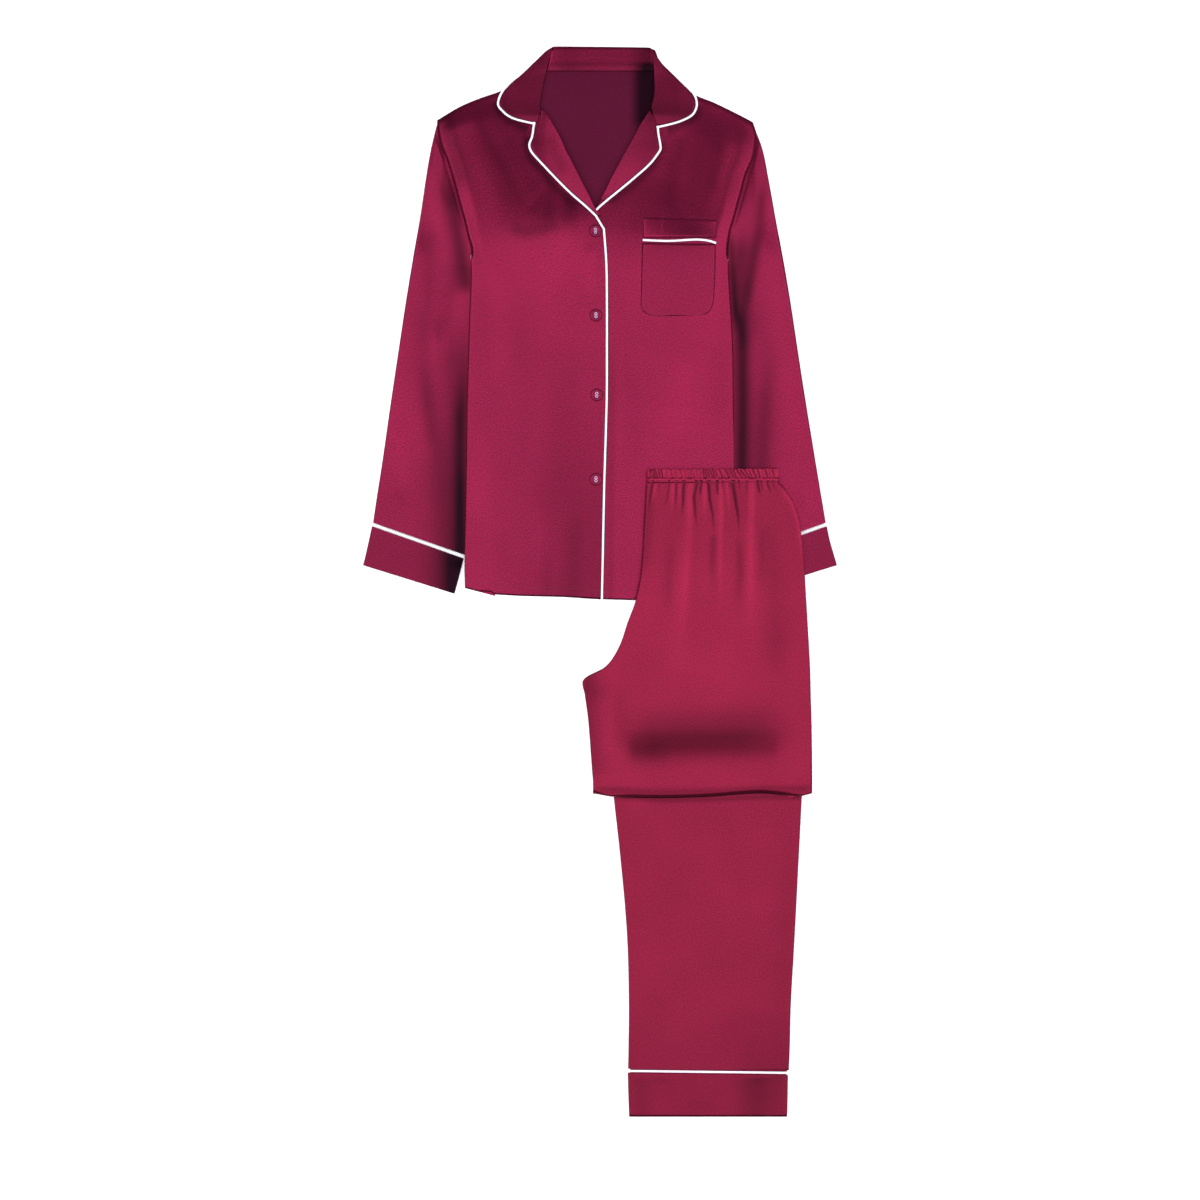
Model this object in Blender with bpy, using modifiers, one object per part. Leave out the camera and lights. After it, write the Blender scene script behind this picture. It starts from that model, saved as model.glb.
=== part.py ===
"""Satin pyjama set laid flat: a long-sleeved shirt with folded trousers on its lower corner.

The set lies on the plane z = 0 and +Y runs from the trouser hem to the collar. The origin is the
middle of the set on that plane. Left and right are the viewer's, looking down. Tables hold real
sizes in millimetres; everything that is built is in metres. Each cloth panel is a wall worked out
from a table of spans, a row for each section across the panel, over one shared height of the lay.
"""

import math
from collections import namedtuple

import bpy
import bmesh
from mathutils import Vector
from mathutils.bvhtree import BVHTree

# ---------------------------------------------------------------------------------------------
# Driving dimensions
# ---------------------------------------------------------------------------------------------

MM = 0.001
CLOTH = 1.0          # wall of satin with its seam allowances, mm
GAP = 0.4            # clearance between two pieces at a seam, mm
ON_PANEL = 1.0       # clearance under what lies on a curved panel, mm
PIPING_R = 1.5       # half of the 3 mm corded piping, mm
BUTTON_R = 7.7       # 15.4 mm shirt button, mm
BUTTON_H = 2.6

SLEEVE_FLAT = 2.6    # height of the sleeve where it lies flat under the shirt's side, mm
SIDE_RISE = 3.2      # height of the shirt's underside over that part of the sleeve, mm
SIDE_ROLL = 6.0      # width over which the shirt's side rounds down, mm
SIDE_SHARE = 0.86    # share of the loft that the layers in the shirt's turned sides keep up
SEAM_SHARE = 0.55    # share of it that is left at the armhole seams
SHOULDER_SHARE = 0.3       # and at the shoulder seams
SHOULDER_ROLL = 70.0       # width over which the shoulder rounds down, mm
SHIRT_PRESS = 0.64   # share of the shirt's loft that the trousers on it press out
LAP_LIFT = CLOTH + ON_PANEL    # the lapping front over the front below it, mm

TROUSER_ON_SHIRT = 10.0     # underside of the trousers where they lie on the shirt, mm
TROUSER_ON_LEG = 8.8        # underside of the fold where it lies on the lower leg, mm
CORE_DROP = 1.9            # hidden layers below the face of the trouser layer on them, mm
BACK_DROP = 2.8            # the shirt's hidden layers below the face of its fronts, mm
LAYERS = 3                 # cloth edges that show on a stack of hidden layers
GROOVE = 1.2               # depth of the groove between two of those edges, mm
ABOVE = 100.0              # a height over everything, mm
CORE_INSET = 3.0           # hidden layers end this far inside a folded edge, mm
SIDE_INSET = 3.0           # the back ends this far inside the shirt's side folds, mm
SEAM_INSET = 2.8           # and this far inside its armhole seams, mm
SEAM_GAP = 1.5             # clearance between a sleeve and its armhole, mm
FOLD_CLEAR = 1.8           # extra clearance round the hidden layers inside the trousers' fold, mm
FOLD_TUCK = 0.8            # a sleeve's underside ends this far inside its folds, mm
COLLAR_ROLL = 1.6          # a collar leaf's extra height at its inner fold, mm
LAPEL_ROLL = 2.6           # a lapel's extra height at its roll line, mm
LAPEL_TIP_Y = 460.0        # it is none from here down
GORGE_Y = 580.0            # and from here up
LAPEL_FADE = 30.0          # and full this far from both, mm
STAND_LOW = 2.4            # the stand's height at its top fold, mm
STAND_FULL = 2.6           # how much higher it is below that, mm
STAND_ROLL = 12.0          # width over which it gets there, mm
PUFF = 0.9                 # the waistband's rise between its stitch rows, mm
PUFF_LENGTH = 8.6          # from one of those rows to the next, mm
WAIST_Y = 121.0            # lower edge of the waistband, mm
FOLD_PROBE = 6.0           # the trousers' fold takes its heights this far above its edge, mm
FOLD_LIFT = 0.3            # clearance under that fold, mm
RIDGE_SHARE = 0.5          # share of a gather's ridge that the waistband shows
CORE_TOP = 137.8           # upper edge of the hidden layers at the waist, mm
CORE_REACH = (0.0, 0.6, 0.9)    # how far they follow the fold, as shares of its radius
FOLD_TURNS = (30, 65, 100, 140)    # where the outer layer's fold has its rows, degrees
HEM_CORD = 0.7             # middle of the hem's piping over the leg's face, mm
HEM_RISE = 3.0             # the hidden layers end this far above the shirt's hem, mm
PIPING_BESIDE = 0.9        # middle of the piping over the face of the front that it edges, mm
PIPING_LIFT = 0.8          # clearance under the pocket's piping, mm
EDGE_SHARES = (0.0, 0.01, 0.035, 0.08)     # columns at a rolled edge, as shares of the width
SIDE_SHARES = (0.0, 0.012, 0.036, 0.07, 0.11, 0.16)
EDGE_SHARE = 0.9           # share of a leg's loft that its layers keep up at a folded edge
EDGE_ROLL = 6.0            # width over which that edge rounds down, mm
SLEEVE_EDGE_SHARE = 0.8    # the same at a sleeve's outer fold
ROLL_POWER = 2.4           # how square a rolled edge is
TROUSERS_PRESS = 0.35      # share of the right sleeve's crest that the trousers press out
SEAM_BOW = {0: 1.0, 1: 0.45, 2: 0.1}       # how far each sleeve ring follows the armhole

Span = namedtuple("Span", "left_x left_y right_x right_y")
Fold = namedtuple("Fold", "from_x from_y to_x to_y half_width height")

# Where a height fades in, each as the place where it is none and the place where it is full, mm.
RISE_ACROSS = (66.0, 118.0)        # the shirt's underside over its sleeves, out from the middle
RISE_DOWN = (426.0, 401.0)
RISE_ABOVE_HEM = (-18.0, 16.0)
FACE_RISE_ACROSS = (46.0, 128.0)   # its face over them
FACE_RISE_DOWN = (560.0, 380.0)
SEAM_UP = (380.0, 460.0)           # the armhole seams' share of the loft
SIDE_DOWN = (412.0, 396.0)         # the turned sides' share of it
LAP_ACROSS = (-70.0, -28.0)        # the lapping front's lift
PRESS_ACROSS = (-8.0, 84.0)        # the trousers' press on the shirt
PRESS_DOWN = (216.0, 140.0)
NECK_COVER = (6.0, 30.0)           # the hidden layers round the neck opening
NECK_TOP = 640.0
SEAM_JOIN = (398.0, 426.0)         # a sleeve's height at the seam, up the armhole
SLEEVE_PRESS_IN = (284.0, 262.0)   # the trousers' press on the right sleeve
SLEEVE_PRESS_DOWN = (176.0, 136.0)
SLEEVE_OUT = (1.5, 40.0)           # a sleeve's crest, out from the body's side
SLEEVE_ROLL = 5.0
SLEEVE_CLEAR_Y = 24.0              # below this the sleeve is clear of the body
SHIRT_CARRIES = (-66.0, -28.0)     # the trousers' underside on the shirt, up from its hem
LEG_CARRIES = (-194.0, -226.0)     # and on the lower leg
LEG_CARRIES_IN = (-9.0, 12.0)
LEG_CARRIES_OUT = (273.0, 253.0)
FOLD_CLIMB = (-158.0, -238.0)      # the upper leg's face, where it climbs onto the lower leg
GATHER_TOP = 112.0                 # a gather is full from here up
GATHER_FADE = 30.0                 # and ends this far below the y in its row
FOLD_FADE_IN = (-0.15, 0.2)        # a soft fold's two ends, as shares of its run
FOLD_FADE_OUT = (1.25, 0.6)
SHOULDER_UP = (430.0, 571.0)       # where the back's rows bend to the shoulder seams
COLLAR_FULLER = (112.0, 74.0)      # a collar leaf's extra height, in to its fold
EDGE_LIFT = (420.0, 432.0)         # the front piping's climb onto the lapel

# Height of the shirt's face over its back, down the middle.
SHIRT_LOFT = (  # y, height
    (660, 1.5), (600, 3.0), (550, 4.4), (500, 6.8), (460, 9.2), (425, 10.6),
    (380, 10.9), (300, 10.0), (200, 8.8), (100, 7.4), (30, 5.6), (-5, 3.0), (-24, 1.2),
)

# The body of the shirt from its shoulder tips: armhole seams, then the folds at its sides.
BODY = (
    Span(-201, 571, 189, 568), Span(-200.5, 556, 193, 554), Span(-197, 540, 192.5, 540),
    Span(-190, 522, 189, 522), Span(-184, 503, 181, 503), Span(-178, 482, 176, 484),
    Span(-173, 463, 171, 466), Span(-168, 445, 166.5, 449), Span(-164, 427, 161.5, 431),
    Span(-159, 409, 158, 405), Span(-159, 388, 158.5, 386), Span(-159.5, 360, 160, 358),
    Span(-161, 325, 162, 325), Span(-162.3, 280, 164, 280), Span(-163.8, 224, 164.5, 224),
    Span(-164.5, 170, 165, 170), Span(-165, 118, 165.3, 118), Span(-166, 62, 166, 62),
    Span(-167, 16, 166.6, 16), Span(-166.5, -8, 167, -23),
)
ARMHOLE_ROWS = 10    # rows of the table above that lie on the armhole seams
# Open edge of each front, a row for each row above: shoulder, neck, roll line, front edge, hem.
OVER_EDGE = (
    (-70, 632), (-74, 614), (-77, 598), (-75, 580), (-59, 562), (-49, 545), (-39.5, 526),
    (-29.5, 506), (-19.5, 486), (-6.5, 460), (3, 434), (6, 393), (6.7, 344), (6.7, 286),
    (6.5, 226), (5, 170), (3.4, 116), (2.2, 58), (1.2, 8), (0.6, -22),
)
UNDER_EDGE = (
    (75, 630), (75, 612), (74, 596), (67, 580), (56.5, 572), (46, 554), (34, 532),
    (22, 510), (9, 486), (-4, 460), (-19, 430), (-20, 393), (-20, 344), (-20, 286),
    (-21, 226), (-22, 170), (-23, 116), (-24, 58), (-24, 8), (-24, -22),
)
SHOULDER = (  # x, y of the shoulder and neck seams
    (-201, 570), (-174, 586), (-151, 596), (-120, 607), (-99, 618), (-66, 629), (0, 626.5),
    (66, 629), (94, 619), (116, 602), (140, 592), (169, 578), (190, 567),
)
HEM = (  # x, y, with the little step of the side vent
    (-167, -8), (-152, -12), (-134, -13), (-131, -16), (-95, -18), (-48, -19),
    (2, -22), (40, -23), (168, -23),
)

# Lapels: from the gorge seam to the tip at the top button. One side is the roll line.
LAPEL_OVER = (
    Span(-72.3, 583.5, -69.5, 582), Span(-74, 570.5, -62, 571), Span(-77, 560, -57, 562),
    Span(-82, 549, -51.5, 552), Span(-85.5, 539, -46.5, 542), Span(-85, 535, -42.5, 532),
    Span(-82.5, 530, -37.5, 523), Span(-68, 514, -29, 506), Span(-50, 495, -20, 488),
    Span(-33.5, 478.5, -12.5, 473), Span(-18, 465, -5.5, 459), Span(-4, 452, 0.5, 451),
)
LAPEL_UNDER = (
    Span(61.5, 582, 63.5, 579), Span(56.5, 574, 67, 567.5), Span(50, 564, 68, 558),
    Span(46, 556, 70.5, 551), Span(40, 545, 72.5, 540), Span(35, 536, 73, 534),
    Span(30, 527, 70.5, 529.5), Span(23, 514, 60, 516), Span(14, 497, 37, 495.5),
    Span(8, 484, 20, 481.5), Span(1, 471.5, 6, 470),
)
# Collar leaves: from the collar's top fold down to the gorge seam.
COLLAR_LEFT = (
    Span(-67, 655, -58.5, 660), Span(-82, 640.5, -63.5, 642), Span(-97, 626, -67, 629),
    Span(-108, 617, -70, 616), Span(-117, 607, -73, 602), Span(-122.5, 597, -74.5, 590),
    Span(-124, 588.5, -74.5, 584.5), Span(-120, 583, -74.6, 579), Span(-113.5, 577, -76, 574),
    Span(-104.5, 572.5, -77, 570), Span(-92, 569.2, -78, 567.5), Span(-84, 567.4, -79, 566.3),
)
COLLAR_RIGHT = (
    Span(63.5, 656, 66, 654.5), Span(66, 640, 76.5, 640), Span(67, 626, 90, 626.5),
    Span(67.5, 613, 103.5, 613), Span(67, 600, 113, 603), Span(65, 591, 117, 595),
    Span(64, 585.5, 117.5, 586.5), Span(65, 580.5, 113, 577.5), Span(67.5, 574, 103, 571.5),
    Span(69.5, 567, 92, 567.5), Span(70.3, 563.5, 80, 565),
)
COLLAR_BACK = (
    Span(-57.7, 660.8, 62.5, 659.3), Span(-59.5, 655, 63.5, 652.5),
    Span(-61.8, 645, 65, 643), Span(-64.5, 635, 66, 634), Span(-65.8, 630.8, 66, 630.8),
)

POCKET = (
    Span(52, 417.2, 142.6, 415.6), Span(51.4, 398, 142.3, 397), Span(51, 376, 141.8, 376),
    Span(50.6, 356, 140.8, 356), Span(50.2, 344, 139.6, 343), Span(51.8, 336, 137, 336.5),
    Span(55.5, 331.2, 133, 331), Span(61, 328.6, 127, 328.6), Span(69, 327, 118, 327.6),
)
POCKET_BAND = (
    Span(53.3, 449, 143.7, 445.6), Span(53, 436, 143.5, 434.4), Span(53, 424, 143, 423.5),
)
BUTTONS = ((-5.5, 432), (-5, 328), (-4, 230), (-5, 126))   # x, y of the middle

# Sleeves from the outer fold to the inner one: armhole seam to cuff seam, then the cuff.
SLEEVE_LEFT = (
    Span(-201.9, 571, -159.9, 409), Span(-209, 537, -160.6, 398.5), Span(-215, 498, -152, 371),
    Span(-221, 456, -134, 326), Span(-230.5, 400, -126, 276), Span(-240, 342, -125, 226),
    Span(-249, 282, -130, 174), Span(-258.5, 218, -140, 126), Span(-268.5, 148, -152, 82),
    Span(-275.5, 103, -161, 54), Span(-280, 72.5, -167.6, 33),
)
SLEEVE_RIGHT = (
    Span(189.9, 568, 158.9, 405), Span(201, 536, 159.6, 395.5), Span(208, 498, 151.5, 369),
    Span(216, 452, 134, 326), Span(226, 398, 126, 276), Span(235.5, 342, 125, 226),
    Span(244.5, 282, 130, 174), Span(254.5, 218, 140, 126), Span(266, 148, 152, 82),
    Span(273.5, 103, 161, 54), Span(278.6, 72.5, 167.6, 33),
)
CUFF_LEFT = (
    Span(-281.3, 68.2, -168.7, 28.7), Span(-285.5, 49, -173, 11), Span(-291, 25, -178.6, -10),
    Span(-292.5, 20, -180, -15),
)
CUFF_RIGHT = (
    Span(279.8, 68.2, 168.7, 28.7), Span(284, 49, 173, 11), Span(291, 25, 178.6, -10),
    Span(292.5, 20, 180, -15),
)
SLEEVE_LOFT = (  # y, height of the sleeve's crest
    (571, 5.4), (540, 6.8), (500, 7.4), (440, 7.6), (360, 7.4), (240, 7.0), (120, 6.6),
    (60, 6.2), (20, 6.0), (-15, 4.6),
)
SLEEVE_FOLDS = (   # soft folds that run down from each underarm
    Fold(-166, 402, -196, 330, 13, -1.5), Fold(-164, 330, -206, 268, 15, -1.2),
    Fold(166, 398, 196, 326, 12, -1.3), Fold(166, 322, 208, 262, 15, -1.0),
)

# Trousers: centre seam and crotch on the left, folded side on the right.
LEG_UPPER = (
    Span(58.4, 120.8, 220, 122.3), Span(57.6, 108, 228.5, 113), Span(56.6, 92, 239, 95),
    Span(55.4, 72, 245.5, 73), Span(54.4, 50, 248.8, 46), Span(52.6, 22, 251.5, 16),
    Span(49.5, -2, 253, -10), Span(43.5, -26, 254.6, -36), Span(34.5, -50, 256, -60),
    Span(24, -80, 257.6, -86), Span(8, -104, 258.8, -108), Span(-20, -121, 259.4, -130),
    Span(-18.4, -140, 260, -150), Span(-15, -164, 260.6, -170), Span(-12.6, -190, 261, -194),
    Span(-10.8, -215, 261.2, -216), Span(-9.2, -236, 261.3, -236),
    Span(-8.2, -248, 261.3, -248),
)
FOLD_EDGE = (  # x, y of the trousers' folded bottom edge
    (-7.5, -262), (17, -265.5), (72, -267.2), (131, -265.7), (195, -261.4), (227, -263.4),
    (248, -264.4), (261.3, -261.5),
)
WAISTBAND = (
    Span(58.8, 138.2, 219, 138.8), Span(58.7, 134.2, 219.6, 135), Span(58.6, 130, 220, 131),
    Span(58.5, 125.6, 220.4, 126.9), Span(58.4, 121.6, 220.6, 123.1),
)
GATHERS = (   # x at the waist, height of the ridge, y where it fades out
    (68, 1.5, 62), (81, 1.6, 84), (92, 1.3, 70), (103, 1.7, 30), (116, 1.2, 78),
    (124.5, 1.4, 62), (135, 1.8, 10), (147, 1.5, 66), (158.5, 1.7, 40), (169, 1.4, 74),
    (181, 1.8, 20), (193, 1.5, 68), (203, 1.3, 76), (212.5, 1.4, 56),
)
TROUSER_LOFT = (  # y, height of the upper leg's face over what carries it
    (140, 7.4), (118, 8.2), (60, 9.4), (-20, 10.2), (-80, 10.8), (-140, 10.6), (-190, 11.2),
    (-228, 12.2), (-268, 12.4),
)
CARRIED = (  # y, height at which the shirt and the cloth's own stiffness carry the upper leg
    (140, 10.0), (20, 10.0), (-20, 9.2), (-60, 7.0), (-100, 4.2), (-140, 1.8), (-180, 0.3),
    (-200, 0.0),
)
LEG_LOWER = (
    Span(15.1, -232, 250.4, -232), Span(17.6, -268, 248.8, -266), Span(22, -308, 246, -322),
    Span(25.5, -341, 244, -360), Span(31, -399, 241.5, -410), Span(34.6, -455, 238.5, -464),
    Span(36, -520, 235.3, -522), Span(35.6, -570, 234, -574), Span(35, -601.3, 232.8, -603.4),
)
HEM_CUFF = (
    Span(34.6, -606.6, 231.8, -609.2), Span(35.2, -630, 231.4, -632), Span(36, -652, 231, -654),
    Span(36.3, -660.8, 230.6, -660.8),
)
LOWER_LOFT = (  # y, height of the lower leg's face
    (-230, 8.0), (-268, 8.2), (-320, 8.4), (-420, 8.2), (-540, 7.6), (-600, 7.2), (-640, 7.0),
    (-661, 6.9),
)


# ---------------------------------------------------------------------------------------------
# Curves and heights
# ---------------------------------------------------------------------------------------------

def ease(value):
    """Smooth step from 0 to 1."""
    value = min(1.0, max(0.0, value))
    return value * value * (3.0 - 2.0 * value)


def ramp(start, end, value):
    """0 at start, 1 at end, smooth between them; start may be the larger."""
    return ease((value - start) / (end - start))


def roll(distance, width):
    """Rounded rise from a folded edge, 0 at the edge and 1 from width inwards."""
    share = 1.0 - min(1.0, max(0.0, distance / width))
    return 1.0 - share ** ROLL_POWER


def read(table, at, column=1):
    """Value of one column at a place in a table, as a smooth curve through its rows."""
    rows = table if table[0][0] < table[-1][0] else table[::-1]
    if at <= rows[0][0]:
        return rows[0][column]
    if at >= rows[-1][0]:
        return rows[-1][column]
    k = next(i for i in range(len(rows) - 1) if at <= rows[i + 1][0])
    slopes = []
    for i in (k, k + 1):
        low, high = rows[max(i - 1, 0)], rows[min(i + 1, len(rows) - 1)]
        slopes.append((high[column] - low[column]) / (high[0] - low[0]))
    width = rows[k + 1][0] - rows[k][0]
    t = (at - rows[k][0]) / width
    start, end = rows[k][column], rows[k + 1][column]
    return (
        start * (1 + 2 * t) * (1 - t) ** 2 + end * t * t * (3 - 2 * t)
        + width * (slopes[0] * t * (1 - t) ** 2 - slopes[1] * t * t * (1 - t))
    )


def fold_height(folds, x, y):
    """Sum of the soft folds at a place: each is a ridge or trough along its own line."""
    total = 0.0
    for fold in folds:
        run = Vector((fold.to_x - fold.from_x, fold.to_y - fold.from_y))
        here = Vector((x - fold.from_x, y - fold.from_y))
        along = here.dot(run) / run.length_squared
        across = abs(run.x * here.y - run.y * here.x) / run.length
        fade = ramp(*FOLD_FADE_IN, along) * ramp(*FOLD_FADE_OUT, along)
        total += fold.height * fade * ramp(fold.half_width, 0.0, across)
    return total


def edge_x(spans, y):
    """Left and right edges of a panel at one height."""
    left = tuple((s.left_y, s.left_x) for s in spans)
    right = tuple((s.right_y, s.right_x) for s in spans)
    return read(left, y), read(right, y)


def side_rise(x, y):
    """Underside of the shirt's body: on the floor, but over the sleeves at its sides."""
    across = ramp(*RISE_ACROSS, abs(x))
    return SIDE_RISE * across * ramp(*RISE_DOWN, y) * ramp(*RISE_ABOVE_HEM, y)


def face_rise(x, y):
    """Rise of the body's face over the sleeves, spread further than its underside's."""
    return SIDE_RISE * ramp(*FACE_RISE_ACROSS, abs(x)) * ramp(*FACE_RISE_DOWN, y)


def pressed(x, y):
    """Share of the shirt's loft that is left under and around the trousers."""
    return 1.0 - SHIRT_PRESS * ramp(*PRESS_ACROSS, x) * ramp(*PRESS_DOWN, y)


def body_loft(x, y):
    """Hidden layers and air between the shirt's back and its face."""
    left, right = edge_x(BODY, y)
    edge_share = SEAM_SHARE * ramp(*SEAM_UP, y) + SIDE_SHARE * ramp(*SIDE_DOWN, y)
    across = edge_share + (1.0 - edge_share) * roll(min(x - left, right - x), SIDE_ROLL)
    inward = roll(read(SHOULDER, x) - y, SHOULDER_ROLL)
    shoulder = SHOULDER_SHARE + (1.0 - SHOULDER_SHARE) * inward
    return read(SHIRT_LOFT, y) * across * shoulder * pressed(x, y)


def under_face(x, y):
    """Face of the front that lies under the other."""
    return face_rise(x, y) + 2.0 * CLOTH + GAP + body_loft(x, y)


def over_face(x, y):
    """Face of the lapping front, lifted where it lies on the other front."""
    return under_face(x, y) + LAP_LIFT * ramp(*LAP_ACROSS, x)


def covered(x, y):
    """0 in the neck opening, where the back's inside shows, to 1 well under the fronts."""
    if y < UNDER_EDGE[ARMHOLE_ROWS][1]:
        return 1.0
    left = read(tuple((edge[1], edge[0]) for edge in OVER_EDGE), y)
    right = read(tuple((edge[1], edge[0]) for edge in UNDER_EDGE), y)
    return ramp(*NECK_COVER, max(left - x, x - right, y - NECK_TOP))


def back_top(x, y):
    """Upper face of the back with the sides turned in under the fronts."""
    thin = side_rise(x, y) + CLOTH
    hidden = max(thin, under_face(x, y) - BACK_DROP)
    return thin + (hidden - thin) * covered(x, y)


def collar_back_face(x, y):
    """Inside of the collar's stand, rounded at its top fold."""
    return STAND_LOW + STAND_FULL * roll(COLLAR_BACK[0].left_y + 1.2 - y, STAND_ROLL)


def sleeve_face(x, y, outer):
    """Face of a sleeve or cuff, its distance from the outer fold given."""
    left, right = edge_x(BODY, y)
    edge = -left if x < 0 else right
    beside = SLEEVE_FLAT
    at_seam = ramp(*SEAM_JOIN, y)
    if at_seam:
        seam_height = under_face(math.copysign(edge - 0.5, x), y)
        beside += (seam_height - SLEEVE_FLAT) * at_seam
    under_trousers = ramp(*SLEEVE_PRESS_IN, x) * ramp(*SLEEVE_PRESS_DOWN, y) * (x > 0)
    crest = read(SLEEVE_LOFT, y) * (1.0 - TROUSERS_PRESS * under_trousers)
    rise = ramp(*SLEEVE_OUT, abs(x) - edge) if y > SLEEVE_CLEAR_Y else 1.0
    top = beside + (max(crest, beside) - beside) * rise
    top += fold_height(SLEEVE_FOLDS, x, y) * rise
    fold = SLEEVE_EDGE_SHARE + (1.0 - SLEEVE_EDGE_SHARE) * roll(outer, SLEEVE_ROLL)
    return SLEEVE_FLAT + (top - SLEEVE_FLAT) * fold


def on_lower_leg(x):
    """Rise of the trousers' fold over the lower leg, across it."""
    return TROUSER_ON_LEG * ramp(*LEG_CARRIES_IN, x) * ramp(*LEG_CARRIES_OUT, x)


def trouser_under(x, y):
    """Underside of the folded trousers: on the shirt, then the floor, then the lower leg."""
    return TROUSER_ON_SHIRT * ramp(*SHIRT_CARRIES, y) + on_lower_leg(x) * ramp(*LEG_CARRIES, y)


def leg_edge(spans, x, y):
    """Share of a leg's loft at a place: it rounds down a little at its folded edges."""
    left, right = edge_x(spans, y)
    return EDGE_SHARE + (1.0 - EDGE_SHARE) * roll(min(x - left, right - x), EDGE_ROLL)


def upper_leg_base(x, y):
    """Face of the upper leg without its gathers."""
    carried = read(CARRIED, y) + on_lower_leg(x) * ramp(*FOLD_CLIMB, y)
    return carried + read(TROUSER_LOFT, y) * leg_edge(LEG_UPPER, x, y)


def lower_leg_face(x, y):
    """Face of the lower leg and its hem cuff."""
    return read(LOWER_LOFT, y) * leg_edge(LEG_LOWER + HEM_CUFF, x, y)


# ---------------------------------------------------------------------------------------------
# Building
# ---------------------------------------------------------------------------------------------

def clear_scene():
    """Remove the objects that a new file starts with."""
    for obj in list(bpy.data.objects):
        bpy.data.objects.remove(obj, do_unlink=True)


def make_material(name, color, roughness):
    """Principled material of one colour."""
    material = bpy.data.materials.new(name)
    material.use_nodes = True
    shader = material.node_tree.nodes["Principled BSDF"]
    shader.inputs["Base Color"].default_value = (*color, 1.0)
    shader.inputs["Roughness"].default_value = roughness
    shader.inputs["Metallic"].default_value = 0.0
    return material


def add_object(name, data, collection, material):
    """Link a mesh or curve into the set's collection."""
    obj = bpy.data.objects.new(name, data)
    data.materials.append(material)
    collection.objects.link(obj)
    return obj


def across_panel(middle, left_edge=EDGE_SHARES, right_edge=EDGE_SHARES):
    """Shares across a panel: close together at its rolled edges, even between them."""
    start, end = left_edge[-1], 1.0 - right_edge[-1]
    inner = [start + (end - start) * k / middle for k in range(1, middle)]
    return [*left_edge, *inner, *(1.0 - share for share in reversed(right_edge))]


def span_point(span, share):
    """Point of a span, in plan."""
    return (
        span.left_x + (span.right_x - span.left_x) * share,
        span.left_y + (span.right_y - span.left_y) * share,
    )


def middle_span(start, end):
    """Span halfway between two others."""
    return Span(*((a + b) / 2.0 for a, b in zip(start, end)))


def cap_ring(bm, ring, columns, flip):
    """Close one end of a stack: from its upper points to those below them, then its edges."""
    half = len(ring) // 2
    above = ring[:columns]
    below = ring[half:half + columns][::-1]
    faces = [
        (above[k], above[k + 1], below[k + 1], below[k]) for k in range(columns - 1)
    ]
    faces.append(ring[columns - 1:half + 1])
    faces.append([*ring[half + columns - 1:], ring[0]])
    for face in faces:
        bm.faces.new(face[::-1] if flip else face)


def strip_mesh(name, rows, closed=False, columns=0):
    """Surface through rows of points in millimetres, round if closed.

    A stack's rows have that many columns above and below, and its two ends are capped.
    """
    mesh = bpy.data.meshes.new(name)
    bm = bmesh.new()
    verts = [[bm.verts.new(Vector(point) * MM) for point in row] for row in rows]
    count = len(verts[0])
    for upper, lower in zip(verts, verts[1:]):
        for k in range(count if closed else count - 1):
            n = (k + 1) % count
            quad = (upper[k], lower[k], lower[n], upper[n])
            if (upper[k].co - lower[n].co).length > (lower[k].co - upper[n].co).length:
                quad = (*quad[1:], quad[0])    # a quad is split from its first point
            bm.faces.new(quad)
    if columns:
        cap_ring(bm, verts[0], columns, False)
        cap_ring(bm, verts[-1], columns, True)
    bm.to_mesh(mesh)
    bm.free()
    return mesh


def add_wall(name, rows, collection, material, closed=False):
    """Wall of cloth, its face given as rows of points."""
    mesh = strip_mesh(name, rows, closed)
    mesh.shade_smooth()
    obj = add_object(name, mesh, collection, material)
    solidify = obj.modifiers.new("wall", "SOLIDIFY")
    solidify.thickness = CLOTH * MM
    solidify.offset = -1.0
    return obj


def height_on(panel, beyond):
    """Height of a panel's own face at a place, and a given height beyond the panel's edge."""
    mesh = panel.data
    faces = [polygon.vertices for polygon in mesh.polygons]
    tree = BVHTree.FromPolygons([vertex.co for vertex in mesh.vertices], faces)

    def height(x, y):
        hit = tree.ray_cast(Vector((x, y, ABOVE)) * MM, Vector((0.0, 0.0, -1.0)))[0]
        return beyond(x, y) if hit is None else hit.z / MM

    return height


def add_panel(name, spans, face, collection, material, shares):
    """Cloth panel whose face follows a height."""
    rows = []
    for span in spans:
        points = [span_point(span, share) for share in shares]
        rows.append([(x, y, face(x, y)) for x, y in points])
    return add_wall(name, rows, collection, material)


def layer_edges(x, y, inward, low, high):
    """Points up one edge of a stack: each layer's fold bulges and a groove parts it."""
    points = []
    for k in range(1, 2 * LAYERS):
        depth = 0.0 if k % 2 else GROOVE
        points.append((x + inward * depth, y, low + (high - low) * k / (2 * LAYERS)))
    return points


def add_stack(name, sections, collection, material):
    """Rounded solid of hidden layers through sections of (x, y, top, underside) points."""
    rows = []
    for section in sections:
        right_x, right_y, right_top, right_low = section[-1]
        left_x, left_y, left_top, left_low = section[0]
        rows.append([
            *((x, y, top) for x, y, top, _ in section),
            *reversed(layer_edges(right_x, right_y, -1.0, right_low, right_top)),
            *((x, y, low) for x, y, _, low in reversed(section)),
            *layer_edges(left_x, left_y, 1.0, left_low, left_top),
        ])
    mesh = strip_mesh(name, rows, True, len(sections[0]))
    return add_object(name, mesh, collection, material)


def stack_sections(spans, shares, inset, top, underside):
    """Sections of a stack that ends a little inside its spans."""
    sections = []
    for span in spans:
        margin = inset / (span.right_x - span.left_x)
        points = [span_point(span, margin + (1.0 - 2.0 * margin) * share) for share in shares]
        sections.append([(x, y, top(x, y), underside(x, y)) for x, y in points])
    return sections


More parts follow.
